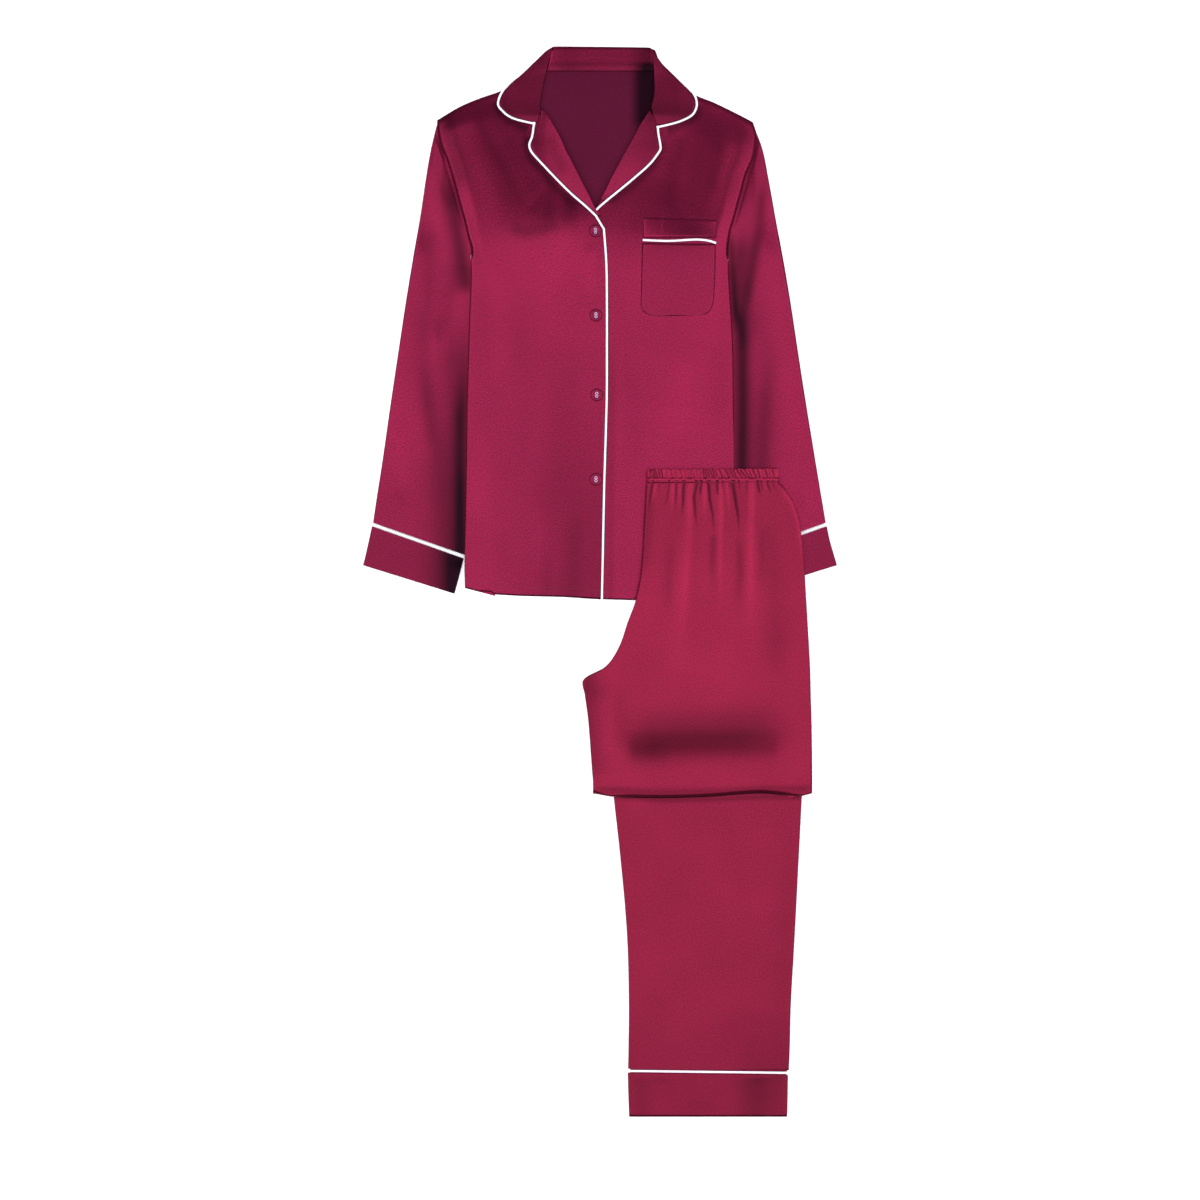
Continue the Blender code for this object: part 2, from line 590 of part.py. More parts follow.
def add_piping(name, points, collection, material):
    """Corded piping along points given in millimetres."""
    curve = bpy.data.curves.new(name, "CURVE")
    curve.dimensions = "3D"
    curve.bevel_depth = PIPING_R * MM
    curve.bevel_resolution = 1
    curve.use_fill_caps = True
    spline = curve.splines.new("POLY")
    spline.points.add(len(points) - 1)
    for target, point in zip(spline.points, points):
        target.co = (*(Vector(point) * MM), 1.0)
    return add_object(name, curve, collection, material)


def beside(points, distance):
    """Plan points moved to the left of their direction by a distance."""
    moved = []
    for i, point in enumerate(points):
        before, after = points[max(i - 1, 0)], points[min(i + 1, len(points) - 1)]
        run = Vector((after[0] - before[0], after[1] - before[1])).normalized()
        moved.append((point[0] - run.y * distance, point[1] + run.x * distance))
    return moved


# ---------------------------------------------------------------------------------------------
# Shirt
# ---------------------------------------------------------------------------------------------

def build_back(collection, satin):
    """Back of the shirt with the sides turned in on it: thin only in the neck opening."""
    shares = across_panel(10, (0.0, 0.035), (0.0, 0.035))
    top_row = BODY[0]
    sections = []
    for number, span in enumerate(BODY):
        inset = SEAM_INSET if number < ARMHOLE_ROWS else SIDE_INSET
        margin = inset / (span.right_x - span.left_x)
        section = []
        for share in shares:
            x, y = span_point(span, margin + (1.0 - 2.0 * margin) * share)
            if number == len(BODY) - 1:
                y = read(HEM, x) + HEM_RISE
            chord = top_row.left_y + (top_row.right_y - top_row.left_y) * share
            y += (read(SHOULDER, x) - chord) * ramp(*SHOULDER_UP, span.left_y)
            section.append((x, y, back_top(x, y), side_rise(x, y)))
        sections.append(section)
    add_stack("shirt_back", sections, collection, satin)


def build_fronts(collection, satin):
    """The two fronts; gives the height of each one's face."""
    under = [Span(*edge, row.right_x, row.right_y) for row, edge in zip(BODY, UNDER_EDGE)]
    over = [Span(row.left_x, row.left_y, *edge) for row, edge in zip(BODY, OVER_EDGE)]
    plain = (0.0,)
    on_under = add_panel(
        "front_under", under, under_face, collection, satin, across_panel(9, plain, SIDE_SHARES),
    )
    on_over = add_panel(
        "front_over", over, over_face, collection, satin, across_panel(9, SIDE_SHARES, plain),
    )
    return height_on(on_under, under_face), height_on(on_over, over_face)


def lapel_full(y):
    """Share of a lapel's roll at a height: none at the gorge seam and at its tip."""
    return ramp(LAPEL_TIP_Y, LAPEL_TIP_Y + LAPEL_FADE, y) * ramp(GORGE_Y, GORGE_Y - LAPEL_FADE, y)


def build_lapels(collection, satin, on_under, on_over):
    """Lapels, the facings that the fronts turn out below the collar."""
    shares = across_panel(4, (0.0,), (0.0,))
    for name, spans, front in (
        ("lapel_over", LAPEL_OVER, on_over), ("lapel_under", LAPEL_UNDER, on_under),
    ):
        def face(x, y, spans=spans, front=front):
            left, right = edge_x(spans, y)
            share = (x - left if x < 0.0 else right - x) / (right - left)
            return front(x, y) + ON_PANEL + CLOTH + LAPEL_ROLL * ease(share) * lapel_full(y)

        add_panel(name, spans, face, collection, satin, shares)


def build_collar(collection, satin, on_under, on_over):
    """Collar: a leaf on each shoulder and the stand between them."""
    shares = across_panel(5, (0.0,), (0.0,))
    for name, spans, front in (
        ("collar_leaf_left", COLLAR_LEFT, on_over), ("collar_leaf_right", COLLAR_RIGHT, on_under),
    ):
        def face(x, y, front=front):
            fuller = COLLAR_ROLL * ramp(*COLLAR_FULLER, abs(x))
            return front(x, y) + ON_PANEL + CLOTH + fuller

        add_panel(name, spans, face, collection, satin, shares)
    sections = stack_sections(
        COLLAR_BACK, across_panel(8, (0.0,), (0.0,)), 0.0, collar_back_face, lambda x, y: 0.0,
    )
    add_stack("collar_back", sections, collection, satin)


def build_pocket(collection, satin, piping, on_under):
    """Breast pocket, its band and the piping between them."""
    def on_front(x, y):
        return on_under(x, y) + ON_PANEL + CLOTH

    shares = across_panel(10, (0.0,), (0.0,))
    add_panel("pocket", POCKET, on_front, collection, satin, shares)
    add_panel("pocket_band", POCKET_BAND, on_front, collection, satin, shares)
    line = (
        (52.8, 420.1), (64, 420.6), (78, 420.8), (95, 420.4), (112, 420), (126, 419.8),
        (136, 419.6), (142.6, 419.4),
    )
    points = [(x, y, on_under(x, y) + PIPING_LIFT + PIPING_R) for x, y in line]
    add_piping("piping_pocket", points, collection, piping)


def build_body_piping(collection, piping, on_under, on_over):
    """Piping on the collar, the lapels and the lapping front's edge."""
    height = ON_PANEL + PIPING_R
    side = PIPING_R + GAP
    lines = (
        ("collar_left", [(s.left_x, s.left_y) for s in COLLAR_LEFT[3:]], -side, on_over),
        ("collar_right", [(s.right_x, s.right_y) for s in COLLAR_RIGHT[3:]], side, on_under),
        ("lapel_under", [(s.right_x, s.right_y) for s in LAPEL_UNDER[2:]], side, on_under),
    )
    for name, edge, distance, front in lines:
        points = [(x, y, front(x, y) + height) for x, y in beside(edge, distance)]
        add_piping(f"piping_{name}", points, collection, piping)

    lapel = beside([(s.left_x, s.left_y) for s in LAPEL_OVER[2:]], -side)
    points = [(x, y, on_over(x, y) + height) for x, y in lapel]
    for x, y in beside(OVER_EDGE[ARMHOLE_ROWS:], side):
        lift = PIPING_BESIDE + (height - PIPING_BESIDE) * ramp(*EDGE_LIFT, y)
        points.append((x, y, over_face(x, y) + lift))
    add_piping("piping_front", points, collection, piping)


def sleeve_rows(spans, from_seam):
    """Rings round a flattened sleeve: its face, its inner fold and its underside."""
    first = spans[0]
    side = -1.0 if first.left_x < 0.0 else 1.0
    seam = [(row.left_x, row.left_y) if side < 0.0 else (row.right_x, row.right_y)
            for row in BODY[:ARMHOLE_ROWS]]
    shares = [(y - seam[0][1]) / (seam[-1][1] - seam[0][1]) for _, y in seam]
    bows = [
        x + side * SEAM_GAP - span_point(first, share)[0] if from_seam else 0.0
        for share, (x, _) in zip(shares, seam)
    ]
    rows = []
    for number, span in enumerate(spans):
        length = math.hypot(span.right_x - span.left_x, span.right_y - span.left_y)
        face = []
        for share, bow in zip(shares, bows):
            x, y = span_point(span, share)
            x += bow * SEAM_BOW.get(number, 0.0)
            face.append((x, y, sleeve_face(x, y, share * length)))
        low = [(x, y, 0.0) for x, y, _ in face]
        low[0] = (low[0][0] - side * FOLD_TUCK, low[0][1], 0.0)
        low[-1] = (low[-1][0] + side * FOLD_TUCK, low[-1][1], 0.0)
        ring = face + low[::-1]
        rows.append(ring if side < 0.0 else ring[::-1])
    return rows


def build_sleeves(collection, satin, piping):
    """Sleeves, cuffs and the piping in each cuff seam."""
    for side, sleeve, cuff in (("left", SLEEVE_LEFT, CUFF_LEFT), ("right", SLEEVE_RIGHT, CUFF_RIGHT)):
        add_wall(f"sleeve_{side}", sleeve_rows(sleeve, True), collection, satin, closed=True)
        add_wall(f"cuff_{side}", sleeve_rows(cuff, False), collection, satin, closed=True)
        seam = middle_span(sleeve[-1], cuff[0])
        length = math.hypot(seam.right_x - seam.left_x, seam.right_y - seam.left_y)
        points = []
        for k in range(13):
            share = k / 12.0
            x, y = span_point(seam, share)
            points.append((x, y, sleeve_face(x, y, share * length) - CLOTH / 2.0))
        add_piping(f"piping_cuff_{side}", points, collection, piping)


def build_buttons(collection, plastic, on_over):
    """Four turned buttons on the lapping front."""
    profile = (
        (0.0, 0.62), (0.52, 0.66), (0.74, 1.0), (0.93, 0.86), (1.0, 0.45), (0.82, 0.0), (0.0, 0.0),
    )
    for number, (x, y) in enumerate(BUTTONS, start=1):
        mesh = bpy.data.meshes.new(f"button_{number}")
        bm = bmesh.new()
        verts = [
            bm.verts.new(Vector((out * BUTTON_R, 0.0, up * BUTTON_H)) * MM) for out, up in profile
        ]
        for start, end in zip(verts, verts[1:]):
            bm.edges.new((start, end))
        bm.to_mesh(mesh)
        bm.free()
        obj = add_object(f"button_{number}", mesh, collection, plastic)
        obj.location = Vector((x, y, on_over(x, y) + ON_PANEL)) * MM
        screw = obj.modifiers.new("turn", "SCREW")
        screw.steps = 20
        screw.render_steps = 20
        screw.use_merge_vertices = True
        screw.merge_threshold = 0.00001
        screw.use_smooth_shade = True


# ---------------------------------------------------------------------------------------------
# Trousers
# ---------------------------------------------------------------------------------------------

def gather_columns():
    """Shares across the waist with the gather on each: a ridge, then the valley after it."""
    waist = LEG_UPPER[0]
    width = waist.right_x - waist.left_x
    columns = [(0.0, None), (0.02, None)]
    for number, (x, _, _) in enumerate(GATHERS):
        columns.append(((x - waist.left_x) / width, number))
        if number + 1 < len(GATHERS):
            after = GATHERS[number + 1][0]
            columns.append((((x + after) / 2.0 - waist.left_x) / width, None))
    return [*columns, (0.98, None), (1.0, None)]


def gather_height(number, y):
    """Height of one gather's ridge at a place down the leg."""
    if number is None:
        return 0.0
    _, height, end_y = GATHERS[number]
    return height * ramp(end_y - GATHER_FADE, GATHER_TOP, y)


def fold_section(x):
    """Middle height, radius and middle y of the trousers' fold at one x."""
    end = read(FOLD_EDGE, x)
    place = end + FOLD_PROBE
    top, low = upper_leg_base(x, place), trouser_under(x, place) + FOLD_LIFT
    radius = (top - low) / 2.0
    return (top + low) / 2.0, radius, end + radius


def build_upper_leg(collection, satin):
    """Waistband, outer layer of the upper leg with its fold, and the layers inside it."""
    columns = gather_columns()
    rows = []
    for span in WAISTBAND:
        row = []
        for share, number in columns:
            x, y = span_point(span, share)
            puff = PUFF * abs(math.sin(math.pi * (y - WAIST_Y) / PUFF_LENGTH))
            ridge = RIDGE_SHARE * gather_height(number, WAIST_Y)
            row.append((x, y, upper_leg_base(x, WAIST_Y) + puff + ridge))
        rows.append(row)
    add_wall("waistband", rows, collection, satin)

    rows = []
    for span in LEG_UPPER:
        row = []
        for share, number in columns:
            x, y = span_point(span, share)
            row.append((x, y, upper_leg_base(x, y) + gather_height(number, y)))
        rows.append(row)
    for degrees in FOLD_TURNS:
        turn = math.radians(degrees)
        row = []
        for share, _ in columns:
            x, _ = span_point(LEG_UPPER[-1], share)
            z, radius, y = fold_section(x)
            row.append((x, y - radius * math.sin(turn), z + radius * math.cos(turn)))
        rows.append(row)
    add_wall("leg_upper", rows, collection, satin)

    def hidden_top(x, y):
        return upper_leg_base(x, min(y, WAIST_Y)) - CORE_DROP

    shares = across_panel(9)
    top_edge = WAISTBAND[0]._replace(left_y=CORE_TOP, right_y=CORE_TOP)
    sections = stack_sections(
        (top_edge, *LEG_UPPER[:-1]), shares, CORE_INSET, hidden_top, trouser_under,
    )
    last = LEG_UPPER[-1]
    margin = CORE_INSET / (last.right_x - last.left_x)
    for reach in CORE_REACH:
        section = []
        for share in shares:
            x, _ = span_point(last, margin + (1.0 - 2.0 * margin) * share)
            z, radius, y = fold_section(x)
            inner = radius - CORE_DROP - FOLD_CLEAR
            half = inner * math.sqrt(1.0 - reach * reach)
            section.append((x, y - inner * reach, z + half, z - half))
        sections.append(section)
    add_stack("trouser_core_upper", sections, collection, satin)


def build_lower_leg(collection, satin, piping):
    """Outer layer of the lower leg, its hem cuff and piping, and the layers inside it."""
    shares = across_panel(8)
    add_panel("leg_lower", LEG_LOWER, lower_leg_face, collection, satin, shares)
    add_panel("hem_cuff", HEM_CUFF, lower_leg_face, collection, satin, shares)
    sections = stack_sections(
        LEG_LOWER + HEM_CUFF, across_panel(6), CORE_INSET,
        lambda x, y: lower_leg_face(x, y) - CORE_DROP, lambda x, y: 0.0,
    )
    add_stack("trouser_core_lower", sections, collection, satin)
    seam = middle_span(LEG_LOWER[-1], HEM_CUFF[0])
    points = [span_point(seam, k / 16.0) for k in range(17)]
    points = [(x, y, lower_leg_face(x, y) + HEM_CORD) for x, y in points]
    add_piping("piping_hem", points, collection, piping)


def main():
    """Build the set."""
    clear_scene()
    collection = bpy.data.collections.new("pyjama_set")
    bpy.context.scene.collection.children.link(collection)
    satin = make_material("wine_satin", (0.33, 0.018, 0.075), 0.38)
    piping = make_material("white_piping", (0.86, 0.84, 0.87), 0.55)
    plastic = make_material("wine_button", (0.20, 0.015, 0.05), 0.25)

    build_back(collection, satin)
    on_under, on_over = build_fronts(collection, satin)
    build_lapels(collection, satin, on_under, on_over)
    build_collar(collection, satin, on_under, on_over)
    build_pocket(collection, satin, piping, on_under)
    build_body_piping(collection, piping, on_under, on_over)
    build_sleeves(collection, satin, piping)
    build_buttons(collection, plastic, on_over)
    build_upper_leg(collection, satin)
    build_lower_leg(collection, satin, piping)


main()
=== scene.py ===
"""Satin pyjama set laid flat on a pale surface: a long-sleeved shirt and folded trousers.

Sizes are in millimetres unless a name says otherwise, along the frame's axes: +X to the side
where the trousers lie, +Y from the trouser hem to the collar, +Z up out of the fronts. Left and
right are the viewer's, looking down. Each cloth piece is a thin shell on the form of its solid in
the frame, worked out from a table of sections over one shared height of the lay, with its creases
laid on that height.
"""
import logging
import math
from dataclasses import dataclass, field
from enum import Enum
from typing import Callable, NamedTuple, Sequence

import bpy
import numpy as np
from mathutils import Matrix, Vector


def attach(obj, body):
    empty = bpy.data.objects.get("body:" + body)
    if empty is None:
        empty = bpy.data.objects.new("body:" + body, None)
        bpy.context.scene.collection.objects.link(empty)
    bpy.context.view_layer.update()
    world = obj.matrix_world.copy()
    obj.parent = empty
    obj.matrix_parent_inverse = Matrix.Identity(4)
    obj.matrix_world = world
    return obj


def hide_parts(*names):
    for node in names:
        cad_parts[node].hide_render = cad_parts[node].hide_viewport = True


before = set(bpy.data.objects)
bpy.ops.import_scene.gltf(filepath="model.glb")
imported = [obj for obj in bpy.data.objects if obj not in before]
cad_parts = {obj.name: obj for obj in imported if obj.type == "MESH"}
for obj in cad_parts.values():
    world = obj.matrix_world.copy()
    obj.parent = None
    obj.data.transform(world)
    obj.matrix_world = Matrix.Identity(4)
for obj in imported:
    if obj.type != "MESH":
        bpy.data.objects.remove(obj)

log = logging.getLogger("pyjama_set")

Array = np.ndarray
Height = Callable[[Array, Array], Array]
Piece = bpy.types.Object
Material = bpy.types.Material
Color = tuple[float, float, float]
Rows = tuple[tuple[float, ...], ...]

MM = 0.001
BODY_NAME = "root"
# Painted shade that all the cloth has, so that lines of painted shade can lighten it as well as
# deepen it.
BASE_PAINTED_SHADE = 0.15
TINY = 1e-9
UP = np.array([0.0, 0.0, 1.0])
CLOTH_ANGLE = math.radians(50.0)
# Where along the shirt one form gives way to the next, from one y to another.
SHOULDER_BLEND = (430.0, 571.0)
HEM_BLEND = (24.0, -8.0)
SEAM_END = (404.0, 422.0)
OVER_SLEEVES = (426.0, 401.0)
# The same along the trousers: where the gathers and creases end above the fold.
CREASE_END = (-238.0, -205.0)
WAIST_Y = 121.0
WAIST_ROWS = (123.0, 128.3)
HEM_SEAM_Y = -605.5


class Slot(Enum):
    """Material slots of the record."""

    SATIN = "wine_satin"
    PIPING = "white_piping"
    BUTTON = "wine_button"


class Held(Enum):
    """How a sheet of cloth is held."""

    LAID = "laid"
    FOLDED = "folded"


class Edge(Enum):
    """The four sides of a panel's grid."""

    LEFT = "left"
    RIGHT = "right"
    TOP = "top"
    BOTTOM = "bottom"

    @property
    def axis(self) -> int:
        """Axis of the grid that runs inwards from this side: 1 across, 0 down."""
        return 1 if self in (Edge.LEFT, Edge.RIGHT) else 0

    @property
    def is_last(self) -> bool:
        """Whether this side is the grid's last row or column."""
        return self in (Edge.RIGHT, Edge.BOTTOM)

    @property
    def across(self) -> "Edge":
        """The side that a left or right one faces."""
        return Edge.LEFT if self is Edge.RIGHT else Edge.RIGHT


class Span(NamedTuple):
    """One section across a panel, from its left end to its right end."""

    left_x: float
    left_y: float
    right_x: float
    right_y: float


class Crease(NamedTuple):
    """A soft ridge, or a trough where height is negative, along a line of (x, y) points; lines of
    painted shade take the same shape, their height then the shade's depth.
    """

    line: Rows
    height: float
    left_width: float
    right_width: float
    fade_in: float = 0.25
    fade_out: float = 0.35


class Plan(NamedTuple):
    """A panel's grid in plan: shares across and down, and x and y of its points."""

    across: Array
    down: Array
    x: Array
    y: Array


def sections(*rows: tuple[float, ...]) -> tuple[Span, ...]:
    """Sections of a panel from rows of its left x and y, then its right x and y."""
    return tuple(Span(*row) for row in rows)


def creases(*rows: tuple) -> tuple[Crease, ...]:
    """Creases from rows of a line, a height, its two widths and perhaps its two fades."""
    return tuple(Crease(*row) for row in rows)


# --- Curves ---

def ease(value: Array) -> Array:
    """Smooth step from 0 to 1."""
    value = np.clip(value, 0.0, 1.0)
    return value * value * (3.0 - 2.0 * value)


def ramp(start: float, end: float, value: Array) -> Array:
    """0 at start, 1 at end, smooth between them; start may be the larger."""
    return ease((np.asarray(value, float) - start) / (end - start))


def roll(distance: Array, width: float) -> Array:
    """Rounded rise from a folded edge, 0 at the edge and 1 from width inwards."""
    share = 1.0 - np.clip(distance / width, 0.0, 1.0)
    return 1.0 - share ** 2.4


def bell(distance: Array, width: Array | float) -> Array:
    """1 where the distance is 0, falling softly away on both sides."""
    return np.exp(-(distance / width) ** 2)


def curve(table: Sequence[Sequence[float]], at: Array) -> Array:
    """Value at places in a table, as a smooth curve through its rows.

    Args:
        table: rows of a place and its value.
        at: the places.

    Returns:
        The value at each of them, held level past the table's ends.
    """
    xs, ys = np.array(sorted(table), float).T
    slopes = np.empty_like(ys)
    slopes[1:-1] = (ys[2:] - ys[:-2]) / (xs[2:] - xs[:-2])
    slopes[0] = (ys[1] - ys[0]) / (xs[1] - xs[0])
    slopes[-1] = (ys[-1] - ys[-2]) / (xs[-1] - xs[-2])
    at = np.clip(at, xs[0], xs[-1])
    k = np.clip(np.searchsorted(xs, at, side="right") - 1, 0, len(xs) - 2)
    width = xs[k + 1] - xs[k]
    t = (at - xs[k]) / width
    return (
        ys[k] * (1 + 2 * t) * (1 - t) ** 2 + ys[k + 1] * t * t * (3 - 2 * t)
        + width * (slopes[k] * t * (1 - t) ** 2 - slopes[k + 1] * t * t * (1 - t))
    )


def lengths_to(points: Array) -> Array:
    """Length along a line of plan points, from its start to each of them."""
    return np.concatenate([[0.0], np.cumsum(np.hypot(*np.diff(points, axis=0).T))])


def along_line(line: Sequence[Sequence[float]], x: Array, y: Array) -> tuple[Array, Array]:
    """Places beside a line of straight runs.

    Args:
        line: the line's points.
        x, y: places on the set.

    Returns:
        The share of the line's length at the nearest point, and the distance from it,
        positive on the line's left.
    """
    points = np.array(line, float)
    starts = lengths_to(points)
    best = np.full(np.shape(x), np.inf)
    share = np.zeros(np.shape(x))
    side = np.ones(np.shape(x))
    for point, run, start in zip(points, np.diff(points, axis=0), starts):
        length = np.hypot(*run)
        dx, dy = x - point[0], y - point[1]
        t = np.clip((dx * run[0] + dy * run[1]) / length ** 2, 0.0, 1.0)
        distance = np.hypot(dx - t * run[0], dy - t * run[1])
        closer = distance < best
        best = np.where(closer, distance, best)
        share = np.where(closer, (start + t * length) / starts[-1], share)
        side = np.where(closer, np.sign(run[0] * dy - run[1] * dx), side)
    return share, best * side


def relief(rows: Sequence[Crease], x: Array, y: Array) -> Array:
    """Height that creases add.

    Args:
        rows: the creases.
        x, y: places on the set.

    Returns:
        Their heights' sum at each place.
    """
    total = np.zeros(np.shape(x))
    for crease in rows:
        share, distance = along_line(crease.line, x, y)
        width = np.where(distance > 0.0, crease.left_width, crease.right_width)
        fade_in = ease((share + TINY) / (crease.fade_in + TINY))
        fade_out = ease((1.0 - share + TINY) / (crease.fade_out + TINY))
        total += crease.height * fade_in * fade_out * bell(distance, width)
    return total


# --- Outlines, as in the frame ---

# The body of the shirt from its shoulder tips: armhole seams, then the folds at its sides.
BODY = sections(
    (-201, 571, 189, 568), (-200.5, 556, 193, 554), (-197, 540, 192.5, 540), (-190, 522, 189, 522),
    (-184, 503, 181, 503), (-178, 482, 176, 484), (-173, 463, 171, 466), (-168, 445, 166.5, 449),
    (-164, 427, 161.5, 431), (-159, 409, 158, 405), (-159, 388, 158.5, 386),
    (-159.5, 360, 160, 358), (-161, 325, 162, 325), (-162.3, 280, 164, 280),
    (-163.8, 224, 164.5, 224), (-164.5, 170, 165, 170), (-165, 118, 165.3, 118),
    (-166, 62, 166, 62), (-167, 16, 166.6, 16), (-166.5, -8, 167, -23),
)
ARMHOLE_ROWS = 10
# Open edge of each front, a row for each row above: shoulder, neck, roll line, front edge, hem.
OVER_EDGE = (
    (-70, 632), (-74, 614), (-77, 598), (-75, 580), (-59, 562), (-49, 545), (-39.5, 526),
    (-29.5, 506), (-19.5, 486), (-6.5, 460), (3, 434), (6, 393), (6.7, 344), (6.7, 286), (6.5, 226),
    (5, 170), (3.4, 116), (2.2, 58), (1.2, 8), (0.6, -22),
)
UNDER_EDGE = (
    (75, 630), (75, 612), (74, 596), (67, 580), (56.5, 572), (46, 554), (34, 532), (22, 510),
    (9, 486), (-4, 460), (-19, 430), (-20, 393), (-20, 344), (-20, 286), (-21, 226), (-22, 170),
    (-23, 116), (-24, 58), (-24, 8), (-24, -22),
)
# x, y of the shoulder and neck seams, then of the hem with the little step of the side vent.
SHOULDER = (
    (-201, 570), (-174, 586), (-151, 596), (-120, 607), (-99, 618), (-66, 629), (0, 626.5),
    (66, 629), (94, 619), (116, 602), (140, 592), (169, 578), (190, 567),
)
HEM = (
    (-167, -8), (-152, -12), (-134, -13), (-131, -16), (-95, -18), (-48, -19), (2, -22), (40, -23),
    (168, -23),
)
LAPEL_OVER = sections(
    (-72.3, 583.5, -69.5, 582), (-74, 570.5, -62, 571), (-77, 560, -57, 562),
    (-82, 549, -51.5, 552), (-85.5, 539, -46.5, 542), (-85, 535, -42.5, 532),
    (-82.5, 530, -37.5, 523), (-68, 514, -29, 506), (-50, 495, -20, 488),
    (-33.5, 478.5, -12.5, 473), (-18, 465, -5.5, 459), (-4, 452, 0.5, 451),
)
LAPEL_UNDER = sections(
    (61.5, 582, 63.5, 579), (56.5, 574, 67, 567.5), (50, 564, 68, 558), (46, 556, 70.5, 551),
    (40, 545, 72.5, 540), (35, 536, 73, 534), (30, 527, 70.5, 529.5), (23, 514, 60, 516),
    (14, 497, 37, 495.5), (8, 484, 20, 481.5), (1, 471.5, 6, 470),
)
COLLAR_LEFT = sections(
    (-67, 655, -58.5, 660), (-82, 640.5, -63.5, 642), (-97, 626, -67, 629), (-108, 617, -70, 616),
    (-117, 607, -73, 602), (-122.5, 597, -74.5, 590), (-124, 588.5, -74.5, 584.5),
    (-120, 583, -74.6, 579), (-113.5, 577, -76, 574), (-104.5, 572.5, -77, 570),
    (-92, 569.2, -78, 567.5), (-84, 567.4, -79, 566.3),
)
COLLAR_RIGHT = sections(
    (61.5, 658.8, 64.5, 657.6), (66, 640, 76.5, 640), (67, 626, 90, 626.5), (67.5, 613, 103.5, 613),
    (67, 600, 113, 603), (65, 591, 117, 595), (64, 585.5, 117.5, 586.5), (65, 580.5, 113, 577.5),
    (67.5, 574, 103, 571.5), (69.5, 567, 92, 567.5), (70.3, 563.5, 80, 565),
)
COLLAR_BACK = sections(
    (-57.7, 660.8, 62.5, 659.3), (-59.5, 655, 63.5, 652.5), (-61.8, 645, 65, 643),
    (-64.5, 635, 66, 634), (-65.8, 630.8, 66, 630.8),
)
# Where the piping of each collar leaf meets that of its lapel, and the other lapel's lower end.
NOTCH_LEFT = (-79.5, 566.5)
NOTCH_RIGHT = (69.5, 562)
LAPEL_FOOT = ((-1, 464), (-7, 458))
POCKET = sections(
    (52, 417.2, 142.6, 415.6), (51.4, 398, 142.3, 397), (51, 376, 141.8, 376),
    (50.6, 356, 140.8, 356), (50.2, 344, 139.6, 343), (51.8, 336, 137, 336.5),
    (55.5, 331.2, 133, 331), (61, 328.6, 127, 328.6), (69, 327, 118, 327.6),
)
POCKET_BAND = sections(
    (53.3, 449, 143.7, 445.6), (53, 436, 143.5, 434.4), (53, 424, 143, 423.5),
)
POCKET_FOOT = ((61, 328.6), (69, 327), (94, 326.8), (118, 327.6), (127, 328.6))
POCKET_PIPING = (
    (52.8, 420.7), (66, 420), (84, 419.4), (100, 420), (115, 420.9), (126, 420.6),
    (134, 419.4), (139.5, 417.9), (142.8, 416.6),
)
BUTTONS = ((-5.5, 432), (-5, 328), (-4, 230), (-5, 126))

# Sleeves from the outer fold to the inner one: armhole seam to cuff seam, then the cuff.
SLEEVE_LEFT = sections(
    (-201.9, 571, -159.9, 409), (-209, 537, -160.6, 398.5), (-215, 498, -152, 371),
    (-221, 456, -134, 326), (-230.5, 400, -126, 276), (-240, 342, -125, 226),
    (-249, 282, -130, 174), (-258.5, 218, -140, 126), (-268.5, 148, -152, 82),
    (-275.5, 103, -161, 54), (-280, 72.5, -167.6, 33),
)
SLEEVE_RIGHT = sections(
    (189.9, 568, 158.9, 405), (201, 536, 159.6, 395.5), (208, 498, 151.5, 369),
    (216, 452, 134, 326), (226, 398, 126, 276), (235.5, 342, 125, 226), (244.5, 282, 130, 174),
    (254.5, 218, 140, 126), (266, 148, 152, 82), (273.5, 103, 161, 54), (278.6, 72.5, 167.6, 33),
)
CUFF_LEFT = sections(
    (-281.3, 68.2, -168.7, 28.7), (-285.5, 49, -173, 11), (-291, 25, -178.6, -10),
    (-292.5, 20, -180, -15),
)
CUFF_RIGHT = sections(
    (279.8, 68.2, 168.7, 28.7), (284, 49, 173, 11), (291, 25, 178.6, -10), (292.5, 20, 180, -15),
)
# Trousers: centre seam and crotch on the left, folded side on the right.
LEG_UPPER = sections(
    (58.4, 120.8, 220, 122.3), (57.6, 108, 228.5, 113), (56.6, 92, 239, 95), (55.4, 72, 245.5, 73),
    (54.4, 50, 248.8, 46), (52.6, 22, 251.5, 16), (49.5, -2, 253, -10), (43.5, -26, 254.6, -36),
    (34.5, -50, 256, -60), (24, -80, 257.6, -86), (8, -104, 258.8, -108), (-20, -121, 259.4, -130),
    (-18.4, -140, 260, -150), (-15, -164, 260.6, -170), (-12.6, -190, 261, -194),
    (-10.8, -215, 261.2, -216), (-9.2, -236, 261.3, -236), (-8.2, -248, 261.3, -248),
)
# The hidden layers' top inside the waistband.
CORE_TOP = sections((58.8, 136.0, 219, 136.6), (58.4, 124.0, 220, 125.0))
# x, y of the trousers' folded bottom edge.
FOLD_EDGE = (
    (-7.5, -262), (17, -265.5), (72, -267.2), (131, -265.7), (195, -261.4), (227, -263.4),
    (248, -264.4), (261.3, -261.5),
)
WAISTBAND = sections(
    (58.8, 138.2, 219, 138.8), (58.7, 134.2, 219.6, 135), (58.6, 130, 220, 131),
    (58.5, 125.6, 220.4, 126.9), (58.4, 121.6, 220.6, 123.1),
)
LEG_LOWER = sections(
    (15.1, -232, 250.4, -232), (17.6, -268, 248.8, -266), (22, -308, 246, -322),
    (25.5, -341, 244, -360), (31, -399, 241.5, -410), (34.6, -455, 238.5, -464),
    (36, -520, 235.3, -522), (35.6, -570, 234, -574), (35, -601.3, 232.8, -603.4),
)
HEM_CUFF = sections(
    (34.6, -606.6, 231.8, -609.2), (35.2, -630, 231.4, -632), (36, -652, 231, -654),
    (36.3, -660.8, 230.6, -660.8),
)
LEG_AND_CUFF = LEG_LOWER + HEM_CUFF


# --- Height of the lay ---

